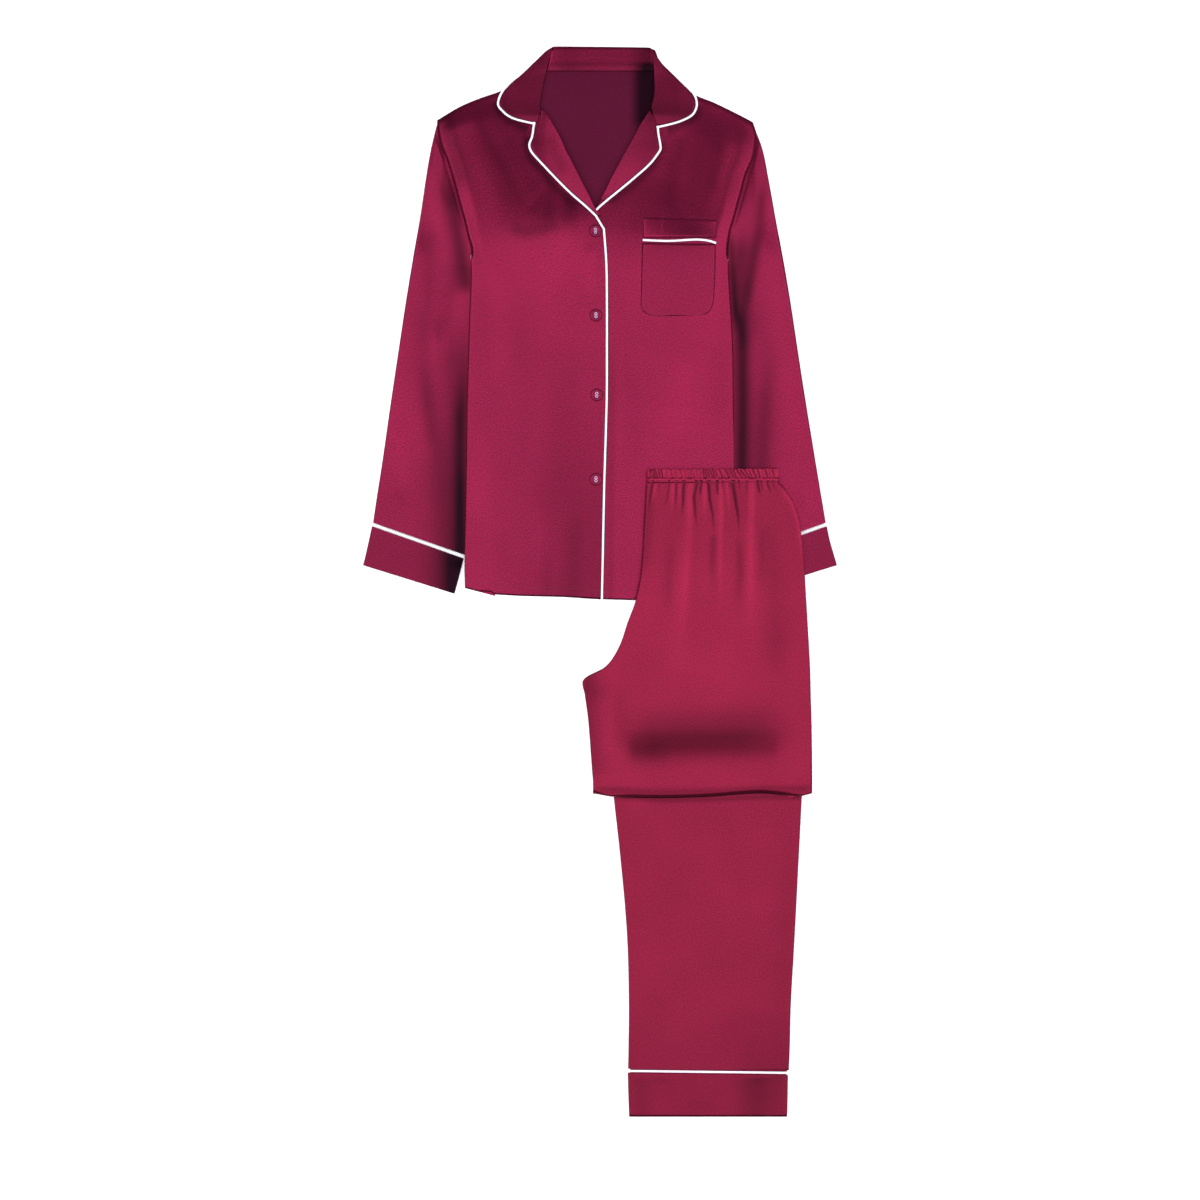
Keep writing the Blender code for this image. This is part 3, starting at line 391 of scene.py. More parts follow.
def edge_x(spans: Sequence[Span], y: Array) -> tuple[Array, Array]:
    """x of a panel's left edge and of its right one at each y."""
    left, right = ([(s[k + 1], s[k]) for s in spans] for k in (0, 2))
    return curve(left, y), curve(right, y)


def inward(spans: Sequence[Span], x: Array, y: Array) -> Array:
    """Distance inwards from the nearer side of a panel."""
    left, right = edge_x(spans, y)
    return np.minimum(x - left, right - x)


def hem_y(x: Array) -> Array:
    """The shirt's hem at each x."""
    return np.interp(x, *np.array(HEM).T)


@dataclass
class ShirtLay:
    """Heights of the shirt's faces over the surface, and the painted shade of its cloth.

    The loft tables and the clearances are the frame's own. The creases are laid on them. The shade
    lines are lines along which painted shade deepens the cloth's colour, or painted highlight
    lightens it where they are negative.
    """

    cloth: float = 1.0
    on_panel: float = 1.0
    under_wall: float = 2.4
    side_rise: float = 3.2
    side_roll: float = 3.6
    side_share: float = 0.88
    press: float = 0.64
    shoulder_width: float = 70.0
    sleeve_flat: float = 2.6
    sleeve_roll: float = 5.0
    armpit_y: float = 426.0
    # How much painted shade a millimetre of trough adds, and a millimetre of ridge takes away.
    trough_painted_shade: float = 0.12
    loft: Rows = (
        (660, 1.5), (600, 3.0), (550, 4.4), (500, 6.8), (460, 9.2), (425, 10.6), (380, 10.9),
        (300, 10.0), (200, 8.8), (100, 7.4), (30, 5.6), (-5, 3.0), (-24, 1.2),
    )
    sleeve_loft: Rows = (
        (571, 5.4), (540, 6.8), (500, 7.4), (440, 7.6), (360, 7.4), (240, 7.0), (120, 6.6),
        (60, 6.2), (20, 6.0), (-15, 4.6),
    )
    # Lines of painted shade on the fronts, and of painted highlight where the height is negative.
    body_shade_lines: tuple[Crease, ...] = creases(
        (((16, 330), (15, 200), (13, -40)), 0.16, 4, 9, 0.3, 0.0),
        (((-24, 120), (-30, 60), (-34, -40)), 0.10, 9, 16, 0.4, 0.0),
        (((-62, 60), (-64, 20), (-66, -40)), 0.08, 5, 9, 0.4, 0.0),
        # painted shadow under the collar and the lapels
        (((-129, 596), (-124, 579), (-113, 570), (-99, 563), (-88, 558)), 0.56, 6, 6, 0.1, 0.05),
        (((-88, 552), (-91, 536), (-86, 522), (-71, 507), (-57, 489), (-40, 472), (-24, 457)),
         0.52, 5, 6, 0.05, 0.15),
        (((122, 590), (119, 576), (108, 568), (94, 561), (82, 557)), 0.46, 6, 6, 0.1, 0.05),
        (((76, 545), (76, 533), (62, 510), (42, 489), (24, 477), (8, 463)), 0.38, 5, 5, 0.05, 0.1),
        # painted shade on the slope above the left crest and the shoulder beside it, painted
        # highlight where negative
        (((-192, 585), (-184, 548), (-177, 520), (-170, 495), (-162, 470)), 0.40, 12, 13, 0.1, 0.3),
        (((-160, 532), (-149, 508), (-138, 484), (-126, 455)), -0.10, 9, 9, 0.2, 0.2),
        (((-146, 560), (-133, 532), (-115, 508), (-99, 483), (-86, 462)), 0.09, 12, 8, 0.2, 0.3),
        (((-114, 437), (-92, 430), (-72, 434), (-52, 440), (-34, 443)), 0.30, 9, 8, 0.15, 0.35),
        (((184, 562), (176, 532), (168, 508), (161, 483), (153, 452), (149, 428)),
         0.27, 9, 12, 0.15, 0.5),
        (((-140, 380), (-138, 200), (-140, 0)), 0.04, 30, 20, 0.2, 0.1),
        (((136, 380), (130, 280), (126, 170)), -0.04, 40, 40, 0.2, 0.3),
    )
    # A line of painted shade on the left lapel.
    lapel_shade_lines: tuple[Crease, ...] = creases(
        (((-64, 556), (-57, 532), (-47, 508), (-40, 494)), 0.24, 9, 9, 0.2, 0.3),
    )
    # Lines of painted shade on the sleeves.
    sleeve_shade_lines: tuple[Crease, ...] = creases(
        # painted shade in the hollow beside the left side of the body, then along the folds next to
        # it
        (((-190, 515), (-186, 483), (-177, 434), (-169, 392), (-165, 350)),
         0.52, 10, 12, 0.3, 0.12),
        (((-165, 352), (-166, 322), (-167, 262), (-171, 199), (-172, 138), (-171, 28)),
         0.66, 12, 12, 0.5, 0.0),
        (((-178, 340), (-187, 262), (-188, 199), (-194, 138), (-192, 76), (-190, 28)),
         0.34, 15, 20, 0.25, 0.0),
        (((-220, 290), (-211, 199), (-200, 130)), 0.18, 9, 9, 0.4, 0.4),
        (((-212, 450), (-211, 384), (-214, 322), (-214, 262)), 0.16, 8, 9, 0.25, 0.3),
        # the same on the right
        (((203, 505), (200, 470), (198, 442), (191, 405), (186, 370), (181, 340), (177, 310)),
         0.42, 7, 8, 0.2, 0.3),
        (((177, 440), (173, 400), (172, 360), (173, 320), (174, 280)), 0.46, 12, 9, 0.25, 0.3),
        (((160, 440), (162, 405), (164, 370), (166, 335), (168, 300)), 0.44, 5, 7, 0.2, 0.3),
        (((179, 350), (176, 286), (176, 224), (175, 175), (174, 110), (173, 20)),
         0.68, 11, 12, 0.2, 0.0),
        (((194, 280), (198, 200), (196, 110), (188, 28)), 0.34, 20, 16, 0.5, 0.0),
        (((216, 310), (212, 280), (205, 224), (203, 175), (201, 110)), 0.12, 9, 9, 0.3, 0.2),
    )
    body_creases: tuple[Crease, ...] = creases(
        # the crest from the left shoulder down to the bust, and from there across to the edge
        (((-166, 592), (-143, 532), (-124, 502), (-108, 475), (-92, 454), (-70, 444), (-33, 442),
          (8, 444)), 3.2, 26, 56, 0.12, 0.22),
        (((-98, 562), (-80, 512), (-60, 458)), 0.6, 13, 13),
        # the right side's softer crest, and the folds over it
        (((160, 580), (148, 520), (138, 460), (122, 426), (75, 418), (20, 434)),
         2.0, 55, 36, 0.15, 0.25),
        (((108, 575), (92, 520), (84, 455)), -0.9, 17, 20),
        (((158, 552), (142, 500), (134, 452)), 0.8, 16, 15),
        # slow folds down the two fronts
        (((-122, 405), (-126, 330), (-124, 230)), 0.5, 15, 12),
        (((-98, 350), (-94, 230), (-96, 100)), -0.45, 14, 16),
        (((-58, 420), (-64, 350), (-66, 270)), 0.4, 12, 15),
        (((-34, 310), (-48, 190), (-58, 60)), -0.7, 20, 24),
        (((-140, 210), (-146, 120), (-142, 20)), 0.5, 12, 15),
        (((-82, 110), (-74, 50), (-78, 0)), 0.5, 10, 12),
        (((-120, 70), (-116, 30), (-118, -6)), -0.35, 8, 10),
        (((-12, 420), (-13, 385), (-12, 350)), 0.4, 6, 6),
        (((30, 300), (44, 210), (40, 120)), -0.4, 16, 18),
        (((112, 300), (100, 225), (88, 160)), 0.45, 18, 16),
        (((145, 320), (148, 240), (146, 170)), -0.35, 10, 12),
        (((24, 110), (32, 50), (28, -6)), -0.4, 10, 12),
    )
    sleeve_creases: tuple[Crease, ...] = creases(
        (((-198, 552), (-188, 512), (-177, 474)), 0.7, 5, 5),
        (((-206, 545), (-196, 500), (-184, 452)), -0.8, 6, 6),
        (((-176, 420), (-190, 350), (-196, 290)), -1.1, 12, 16),
        (((-228, 372), (-216, 270), (-200, 160)), -1.0, 9, 17),
        (((-206, 330), (-192, 240), (-184, 150)), 0.7, 10, 12),
        (((-250, 200), (-246, 150), (-238, 98)), 0.5, 12, 10),
        (((-252, 118), (-246, 106), (-238, 92)), -0.5, 5, 6),
        (((-222, 92), (-224, 74), (-227, 56)), -0.35, 3, 3, 0.3, 0.05),
        (((-212, 90), (-215, 70), (-218, 52)), -0.3, 3, 3, 0.3, 0.05),
        (((190, 540), (180, 470), (172, 380)), -1.1, 15, 12),
        (((200, 520), (212, 400), (218, 280)), 0.8, 14, 14),
        (((186, 372), (200, 300), (206, 170)), -1.0, 14, 10),
        (((228, 330), (236, 240), (248, 150)), 0.4, 10, 10),
        (((240, 122), (246, 104), (256, 88)), -0.45, 5, 6),
    )

    def face_side(self, x: Array, y: Array) -> Array:
        """Rise of the body's face over the sleeves, spread further than the underside's."""
        return self.side_rise * ramp(46.0, 128.0, np.abs(x)) * ramp(560.0, 380.0, y)

    def side(self, x: Array, y: Array) -> Array:
        """Underside of the body: on the floor, but over the sleeves at its sides."""
        along = ramp(*OVER_SLEEVES, y) * ramp(-18.0, 16.0, y)
        return self.side_rise * ramp(66.0, 118.0, np.abs(x)) * along

    def body_loft(self, x: Array, y: Array) -> Array:
        """Hidden layers and air between the shirt's back and its face.

        Args:
            x, y: places on the set.

        Returns:
            Their thickness, less at the seams and shoulders and under the trousers.
        """
        seam_share = 0.55 * ramp(380.0, 460.0, y) + self.side_share * ramp(412.0, 396.0, y)
        across = seam_share + (1.0 - seam_share) * roll(inward(BODY, x, y), self.side_roll)
        shoulder = 0.3 + 0.7 * roll(curve(SHOULDER, x) - y, self.shoulder_width)
        pressed = 1.0 - self.press * ramp(-8.0, 84.0, x) * ramp(216.0, 140.0, y)
        return curve(self.loft, y) * across * shoulder * pressed

    def folds(self, x: Array, y: Array) -> Array:
        """Creases of the fronts, which fade out at the body's edges."""
        inside = ramp(0.0, 18.0, inward(BODY, x, y))
        return relief(self.body_creases, x, y) * inside * ramp(-24.0, 4.0, y)

    def front_painted_shade(self, x: Array, y: Array) -> Array:
        """Painted shade, and painted highlight where it is negative, on the fronts.

        Args:
            x, y: places on the set.

        Returns:
            How deep the painted shade is: deeper in troughs, along the shade lines and down towards
                the lapping edge.
        """
        slope = 0.26 * ramp(-160.0, -10.0, x) * ramp(300.0, 40.0, y) * (x < 3.0)
        return (
            BASE_PAINTED_SHADE - 0.04 + 0.09 * ramp(420.0, 300.0, y) + slope + relief(self.body_shade_lines, x, y)
            - self.trough_painted_shade * relief(self.body_creases[5:], x, y)
        )

    def neck_painted_shade(self, x: Array, y: Array) -> Array:
        """Painted shade inside the neck, deep under the right collar leaf."""
        return BASE_PAINTED_SHADE - 0.05 + 0.88 * ramp(34.0, 51.0, x) * ramp(552.0, 570.0, y)

    def stand_painted_shade(self, x: Array, y: Array) -> Array:
        """Painted shade on the collar's stand, with a painted highlight near its left end.

        Args:
            x, y: places on the set.

        Returns:
            How deep the painted shade is: deepest at the right end and along the foot.
        """
        foot = ramp(645.0, 636.0, y)
        return (
            BASE_PAINTED_SHADE - 0.05 + foot * (0.28 + 0.10 * ramp(20.0, -30.0, x))
            + (0.5 + 0.2 * foot) * ramp(30.0, 60.0, x)
            + 0.10 * bell(x + 38.0, 11.0) - 0.14 * bell(x + 58.0, 6.0)
        )

    def leaf_painted_shade(self, x: Array, y: Array) -> Array:
        """Painted shade on the collar's leaves, deepest where they turn down to the fronts."""
        return BASE_PAINTED_SHADE + 0.22 + 0.18 * ramp(600.0, 576.0, y)

    def lapel_painted_shade(self, x: Array, y: Array) -> Array:
        """Painted shade on the lapels: one fold in the left, deeper towards the notch on the right.
        """
        right = (0.06 + 0.14 * ramp(515.0, 545.0, y)) * (x > 0.0)
        return BASE_PAINTED_SHADE + 0.05 + right + relief(self.lapel_shade_lines, x, y)

    def pocket_painted_shade(self, x: Array, y: Array) -> Array:
        """Painted shade on the pocket and, over it, on its band."""
        band = 0.44 * ramp(444.0, 426.0, y) * ramp(56.0, 124.0, x) - 0.12
        return BASE_PAINTED_SHADE + np.where(y < 421.0, 0.12, band)

    def sleeve_painted_shade(self, x: Array, y: Array) -> Array:
        """Painted shade on a sleeve.

        Args:
            x, y: places on the set.

        Returns:
            How deep the painted shade is: deepest in the hollow beside the body.
        """
        troughs = self.trough_painted_shade * relief(self.sleeve_creases, x, y)
        along = np.where(x > 0.0, 0.05, 0.03 + 0.12 * ramp(200.0, 100.0, y))
        return BASE_PAINTED_SHADE + along + relief(self.sleeve_shade_lines, x, y) - troughs

    def cuff_painted_shade(self, x: Array, y: Array) -> Array:
        """Painted shade on a cuff, deepest at its inner end."""
        distance = np.maximum(-inward(BODY, x, y), 0.0)
        return BASE_PAINTED_SHADE + 0.29 + 0.78 * bell(distance, 35.0)

    def under(self, x: Array, y: Array) -> Array:
        """Face of the front that lies under the other."""
        return self.face_side(x, y) + self.under_wall + self.body_loft(x, y) + self.folds(x, y)

    def over(self, x: Array, y: Array) -> Array:
        """Face of the lapping front, lifted where it lies on the other front."""
        return self.under(x, y) + (self.cloth + self.on_panel) * ramp(-70.0, -28.0, x)

    def sleeve(self, x: Array, y: Array, outer: Array) -> Array:
        """Face of a sleeve or cuff.

        Args:
            x, y: places on the set.
            outer: distance from the sleeve's outer fold.

        Returns:
            Its height: the body's own at the armhole seam, and lower beside the body.
        """
        left, right = edge_x(BODY, y)
        edge = np.where(x < 0.0, -left, right)
        seam_y = np.maximum(y, self.armpit_y)
        left, right = edge_x(BODY, seam_y)
        seam_height = self.under(np.where(x < 0.0, left + 0.5, right - 0.5), seam_y)
        at_seam = ramp(390.0, 436.0, y)
        beside = self.sleeve_flat + (seam_height - self.sleeve_flat) * at_seam
        under_trousers = 0.35 * ramp(284.0, 262.0, x) * ramp(176.0, 136.0, y) * (x > 0)
        crest = curve(self.sleeve_loft, y) * (1.0 - under_trousers)
        beside_body = ramp(6.0, 34.0, y)
        rise = 1.0 - beside_body * (1.0 - ramp(1.5, 40.0, np.abs(x) - edge))
        top = beside + (crest - beside) * rise
        cap = ramp(400.0, 450.0, y) * ramp(566.0, 520.0, y)
        top = top + relief(self.sleeve_creases, x, y) * rise - 2.0 * cap * ramp(45.0, 0.0, outer)
        full = 0.80 + 0.20 * roll(outer, self.sleeve_roll)
        return self.sleeve_flat + (top - self.sleeve_flat) * full


@dataclass
class TrouserLay:
    """Heights of the folded trousers' faces over the surface, and their cloth's painted shade."""

    on_shirt: float = 10.0
    on_leg: float = 8.8
    side_roll: float = 4.0
    side_share: float = 0.93
    # How much painted shade a millimetre of trough adds, and a millimetre of ridge takes away;
    # troughs deeper than the next number count as that deep.
    trough_painted_shade: float = 0.40
    deepest_trough: float = -1.1
    gather_share: float = 0.6
    loft: Rows = (
        (140, 7.4), (118, 8.2), (60, 9.4), (-20, 10.2), (-80, 10.8), (-140, 10.6), (-190, 11.2),
        (-228, 12.2), (-268, 12.4),
    )
    carried: Rows = (
        (140, 10.0), (20, 10.0), (-20, 9.2), (-60, 7.0), (-100, 4.2), (-140, 1.8), (-180, 0.3),
        (-200, 0.0),
    )
    lower_loft: Rows = (
        (-230, 8.0), (-268, 8.2), (-320, 8.4), (-420, 8.2), (-540, 7.6), (-600, 7.2), (-640, 7.0),
        (-661, 6.9),
    )
    # Gathers below the waist: the sharp valleys, then the ridges between them.
    gathers: tuple[Crease, ...] = creases(
        (((66, 132), (64.5, 120), (61.5, 103), (60.5, 84)), -1.5, 1.5, 1.5, 0.1, 0.6),
        (((74, 132), (72.5, 120), (69.8, 106)), -0.6, 1.2, 1.2, 0.1, 0.5),
        (((87, 132), (84, 110), (77.6, 86)), -0.8, 1.4, 1.4, 0.2, 0.6),
        (((94.5, 132), (93.9, 120), (92.6, 82)), -1.0, 1.4, 1.3, 0.1, 0.6),
        (((104, 132), (103.3, 120), (101.2, 78)), -1.6, 1.5, 1.5, 0.1, 0.5),
        (((121, 132), (119.3, 121), (116, 105), (117.3, 85), (120, 58)), -1.8, 1.5, 1.5, 0.1, 0.6),
        (((125.5, 132), (124.7, 120), (122.5, 105)), -1.5, 1.5, 1.4, 0.1, 0.4),
        (((133, 132), (134, 120), (135.4, 101), (138.7, 83), (140.5, 52)),
         -1.8, 1.5, 1.5, 0.1, 0.6),
        (((143.5, 132), (144, 121), (144.8, 106)), -1.5, 1.5, 1.4, 0.1, 0.4),
        (((151, 132), (150.8, 120), (150.4, 113)), -0.9, 1.1, 1.1, 0.1, 0.4),
        (((159, 132), (159.2, 121), (159.8, 113)), -0.9, 1.1, 1.1, 0.1, 0.4),
        (((163, 132), (164, 120), (166.8, 103), (169.5, 85), (171.8, 56)),
         -2.0, 1.6, 1.6, 0.1, 0.55),
        (((171, 132), (171.5, 120), (172, 113)), -0.8, 1.1, 1.1, 0.1, 0.4),
        (((181, 132), (180.9, 120), (181, 104)), -0.7, 1.2, 1.2, 0.1, 0.5),
        (((192.5, 132), (194.3, 120), (197.3, 106)), -1.5, 1.5, 1.5, 0.1, 0.4),
        (((198.5, 132), (199, 120), (200.5, 112)), -0.9, 1.1, 1.1, 0.1, 0.4),
        (((203, 132), (206.3, 120), (212, 107)), -1.1, 1.3, 1.3, 0.1, 0.5),
        (((210, 132), (213, 120), (219, 110)), -0.7, 1.2, 1.2, 0.1, 0.5),
        (((70, 132), (68, 116), (66, 96)), 0.8, 2.2, 2.2, 0.1, 0.7),
        (((90, 132), (89, 112), (88, 80)), 0.8, 2.2, 2.2, 0.1, 0.7),
        (((99, 132), (98, 112), (97, 84)), 0.6, 1.8, 1.8, 0.1, 0.7),
        (((112, 132), (110, 112), (108.5, 60)), 0.9, 3.3, 2.9, 0.1, 0.7),
        (((129.5, 132), (129, 112), (127.5, 68)), 0.9, 2.5, 2.5, 0.1, 0.7),
        (((148, 132), (148.5, 112), (151, 66)), 1.0, 2.0, 2.0, 0.1, 0.7),
        (((156, 132), (157, 112), (160, 76)), 0.8, 2.0, 2.0, 0.1, 0.7),
        (((187, 132), (186.5, 112), (186, 60)), 1.0, 3.8, 3.3, 0.1, 0.7),
        (((202, 132), (203, 120), (206, 104)), 0.7, 1.8, 1.8, 0.1, 0.7),
    )
    # Valleys of the heading: x, depth and lean.
    heading_gathers: Rows = (
        (61.4, 0.9, 0.1), (64.0, 0.9, 0.2), (66.9, 1.0, 0.2), (69.4, 0.9, 0.3), (73.0, 0.8, 0.2),
        (76.3, 0.7, 0.2), (82.0, 0.4, 0.1), (87.8, 0.5, 0.2), (91.0, 0.3, 0.1), (94.2, 0.4, 0.2),
        (99.8, 0.5, 0.3), (105.0, 0.4, 0.1), (108.6, 0.3, 0.2), (112.0, 0.5, 0.1),
        (115.2, 0.4, 0.3), (119.4, 0.4, 0.2), (123.8, 0.5, 0.1), (127.6, 0.9, 0.2),
        (130.6, 0.7, 0.3), (133.6, 0.9, 0.3), (137.2, 0.8, 0.4), (140.3, 0.9, 0.3),
        (143.4, 0.6, 0.3), (149.2, 0.8, 0.4), (153.0, 0.3, 0.2), (156.8, 0.7, 0.4),
        (159.2, 0.5, 0.3), (162.8, 0.9, 0.5), (166.0, 0.7, 0.4), (171.8, 0.8, 0.7),
        (176.4, 0.9, 0.8), (181.0, 0.7, 0.6), (185.2, 0.6, 0.4), (190.4, 0.9, 0.5),
        (195.8, 0.8, 0.3), (200.6, 0.3, 0.2), (205.2, 0.9, 0.3), (209.0, 0.4, 0.2),
        (213.4, 0.6, 0.2),
    )
    # Lines of painted shade on the upper leg, and of painted highlight where the height is
    # negative.
    leg_shade_lines: tuple[Crease, ...] = creases(
        # painted shade on the band where the leg bends down to its fold, and along the fold's own
        # line
        (((14, -190), (70, -190), (130, -189), (190, -187), (250, -182)), 0.24, 26, 27, 0.22, 0.22),
        (((26, -196), (80, -196), (130, -193), (180, -191), (230, -186)), 0.18, 15, 20, 0.22, 0.30),
        (((22, -166), (70, -168), (130, -167), (190, -166), (240, -160)), 0.10, 17, 10, 0.25, 0.25),
        (((22, -206), (56, -214), (100, -214)), 0.16, 13, 12, 0.3, 0.5),
        (((222, 115), (236, 98), (244, 74), (248, 48), (250, 20)), -0.28, 3, 3, 0.1, 0.3),
        (((-6, -256), (70, -259), (140, -258), (200, -254), (262, -255)), 0.24, 3.4, 9, 0.03, 0.03),
        # painted shade on the panel at the right, and along the long folds beside it
        (((198, 84), (206, 50), (214, 0), (217, -60), (218, -150)), 0.12, 14, 15, 0.1, 0.3),
        (((196, 72), (199, 30), (196, -20)), 0.10, 5, 4, 0.3, 0.4),
        (((171, 60), (173, 10), (168, -40)), 0.16, 4, 5, 0.2, 0.5),
        (((140, 60), (138, 30), (137, -10)), 0.16, 4, 4, 0.1, 0.6),
        (((88, 60), (85, 0), (82, -50)), 0.09, 6, 8, 0.3, 0.4),
        (((60, 110), (57, 60), (52, -10)), 0.18, 8, 4, 0.2, 0.4),
        (((-16, -118), (-14, -180), (-8, -250)), 0.26, 16, 6, 0.0, 0.2),
        (((24, -120), (26, -170), (28, -215)), 0.10, 10, 10, 0.3, 0.3),
        # painted highlights on the crests
        (((187, 108), (186, 70), (186, 30), (185, -60)), -0.22, 3.5, 5, 0.1, 0.5),
        (((148, 108), (149, 70), (148, 20), (148, -40)), -0.24, 3, 4, 0.1, 0.5),
        (((112, 104), (110, 70), (108, 30), (100, -90)), -0.15, 4, 6, 0.1, 0.5),
        (((-20, -128), (-4, -136), (22, -142)), 0.10, 12, 14, 0.0, 0.4),
        (((70, -100), (120, -108), (180, -100)), -0.07, 26, 26, 0.3, 0.3),
    )
    # Lines of painted shade on the lower leg and its hem cuff, and of painted highlight where
    # negative.
    lower_shade_lines: tuple[Crease, ...] = creases(
        # painted shadow under the fold
        (((16, -266), (80, -270), (140, -269), (200, -266), (250, -267)), 0.30, 4, 3, 0.02, 0.02),
        (((236, -300), (230, -420), (226, -600)), 0.08, 10, 18, 0.2, 0.0),
        (((202, -520), (196, -570), (192, -600)), 0.08, 26, 26, 0.3, 0.0),
        (((30, -275), (60, -268)), -0.05, 14, 10, 0.3, 0.3),
        (((52, -612), (50, -636), (54, -660)), 0.08, 12, 10, 0.1, 0.0),
        (((194, -612), (196, -634), (192, -660)), 0.20, 20, 24, 0.05, 0.0),
        (((222, -612), (222, -660)), 0.05, 8, 8, 0.0, 0.0),
    )
    leg_creases: tuple[Crease, ...] = creases(
        (((106, 92), (99, 20), (95, -90), (96, -140)), 1.1, 12, 10, 0.2, 0.4),
        (((92, 60), (86, 0), (84, -60)), -0.8, 8, 9),
        (((131, 90), (131, 30), (128, -45)), 0.7, 7, 8),
        (((140, 70), (139, 25), (138, -12)), -0.7, 7, 6),
        (((156, 80), (157, 20), (156, -50)), 0.8, 8, 8),
        (((172, 50), (173, 0), (170, -50)), -0.8, 8, 6),
        (((189, 96), (190, 20), (187, -60), (183, -120)), 1.1, 8, 11, 0.15, 0.4),
        (((214, 70), (222, -20), (226, -120)), -0.25, 22, 18),
        (((5, -125), (7, -180), (14, -235)), 0.8, 10, 12),
        (((60, 60), (62, -20), (50, -90)), 0.5, 9, 14),
    )
    lower_creases: tuple[Crease, ...] = creases(
        (((238, -300), (230, -420), (226, -560)), -0.5, 14, 14),
        (((50, -300), (60, -430), (64, -560)), 0.5, 18, 22),
        (((112, -290), (120, -420), (110, -560)), -0.35, 24, 24),
        (((170, -330), (166, -450), (158, -580)), 0.4, 22, 22),
        (((76, -610), (74, -634), (78, -655)), -0.5, 14, 14),
        (((128, -612), (130, -634), (126, -655)), 0.4, 18, 18),
        (((196, -608), (194, -634), (198, -655)), -0.5, 14, 16),
    )

    def underside(self, x: Array, y: Array) -> Array:
        """Underside of the folded trousers: on the shirt, then the floor, then the lower leg."""
        on_leg = ramp(-194.0, -226.0, y) * ramp(-9.0, 12.0, x) * ramp(273.0, 253.0, x)
        return self.on_shirt * ramp(-66.0, -28.0, y) + self.on_leg * on_leg

    def sides(self, spans: Sequence[Span], x: Array, y: Array) -> Array:
        """Share of the loft, a little less at a panel's rolled sides."""
        rolled = roll(inward(spans, x, y), self.side_roll)
        return self.side_share + (1.0 - self.side_share) * rolled

    def base(self, x: Array, y: Array) -> Array:
        """Face of the upper leg without its gathers and creases."""
        across = self.sides(LEG_UPPER, x, y)
        return curve(self.carried, y) + self.on_lower(x, y) + curve(self.loft, y) * across

    def on_lower(self, x: Array, y: Array) -> Array:
        """Rise of the fold over the lower leg."""
        along = ramp(-158.0, -238.0, y)
        return self.on_leg * along * ramp(-4.0, 44.0, x) * ramp(268.0, 214.0, x)

    def upper_painted_shade(self, x: Array, y: Array) -> Array:
        """Painted shade, and painted highlight where it is negative, on the upper leg.

        Args:
            x, y: places on the set.

        Returns:
            How deep the painted shade is: deeper in the gathers and along the shade lines.
        """
        troughs = relief(self.gathers, x, y) + 0.15 * relief(self.leg_creases, x, y)
        troughs = np.maximum(troughs, self.deepest_trough) * ramp(*CREASE_END, y)
        along = BASE_PAINTED_SHADE + 0.06 + 0.06 * ramp(-20.0, 60.0, y)
        return along + relief(self.leg_shade_lines, x, y) - self.trough_painted_shade * troughs

    def waist_painted_shade(self, x: Array, y: Array) -> Array:
        """Painted shade on the waistband.

        Args:
            x, y: places on the set.

        Returns:
            How deep the painted shade is: deep in the stitched channels and between the gathers.
        """
        rows = sum(
            bell(y - at - 0.3 * np.sin(1.7 * x + at), 0.8) * (0.55 + 0.45 * np.sin(2.1 * x + at))
            for at in WAIST_ROWS
        )
        return BASE_PAINTED_SHADE - 0.15 + 0.24 * rows + 0.66 * self.heading(x, y)

    def lower_painted_shade(self, x: Array, y: Array) -> Array:
        """Painted shade on the lower leg and its hem cuff."""
        along = 0.14 + 0.06 * ramp(-480.0, -600.0, y) + 0.05 * (y < HEM_SEAM_Y)
        return BASE_PAINTED_SHADE + along + relief(self.lower_shade_lines, x, y)

    def heading(self, x: Array, y: Array) -> Array:
        """Depth of the heading's small valleys.

        Args:
            x, y: places on the set.

        Returns:
            The depth, from 0 to 1.
        """
        total = np.zeros(np.shape(x))
        for at, depth, lean in self.heading_gathers:
            total += depth * bell(x - at + lean * (y - 133.0), 0.8)
        return np.minimum(1.6 * total, 1.0) * ramp(139.2, 137.6, y) * ramp(128.0, 129.6, y)

    def upper(self, x: Array, y: Array) -> Array:
        """Face of the upper leg.

        Args:
            x, y: places on the set.

        Returns:
            Its height, with the gathers and creases, dropping to the fold at the bottom.
        """
        inside = ramp(0.0, 9.0, inward(LEG_UPPER, x, y))
        folds = relief(self.leg_creases, x, y) * ramp(*CREASE_END, y)
        drop = 2.2 * ramp(-248.0, -268.0, y)
        gathers = self.gather_share * relief(self.gathers, x, y)
        return self.base(x, y) + (gathers + folds) * inside - drop

    def lower(self, x: Array, y: Array) -> Array:
        """Face of the lower leg and its hem cuff, with its creases."""
        folds = relief(self.lower_creases, x, y) * ramp(0.0, 12.0, inward(LEG_AND_CUFF, x, y))
        return curve(self.lower_loft, y) * self.sides(LEG_AND_CUFF, x, y) + folds


# --- Cloth grids ---

EDGE_STEPS = (0.0, 0.25, 0.6, 1.1, 1.8, 2.8, 4.2, 6.0)
FOLD_ARC = 6
FOLD_BULGE = 0.4
# The row or column that shows which way a fold faces, counted inwards from the edge.
FACING_STEP = 4


def spread(length: float, spacing: float, start: bool = True, end: bool = True) -> Array:
    """Shares along a length, close together at its rounded ends.

    Args:
        length: the length, in millimetres.
        spacing: the spacing away from the ends.
        start: whether the first end has close points.
        end: whether the last end has them.

    Returns:
        Shares from 0 to 1.
    """
    first = EDGE_STEPS if start else (0.0,)
    last = EDGE_STEPS if end else (0.0,)
    middle = length - first[-1] - last[-1]
    count = max(2, round(middle / spacing))
    inner = [first[-1] + middle * k / count for k in range(1, count)]
    places = [*first, *inner, *(length - step for step in reversed(last))]
    return np.array(places) / length


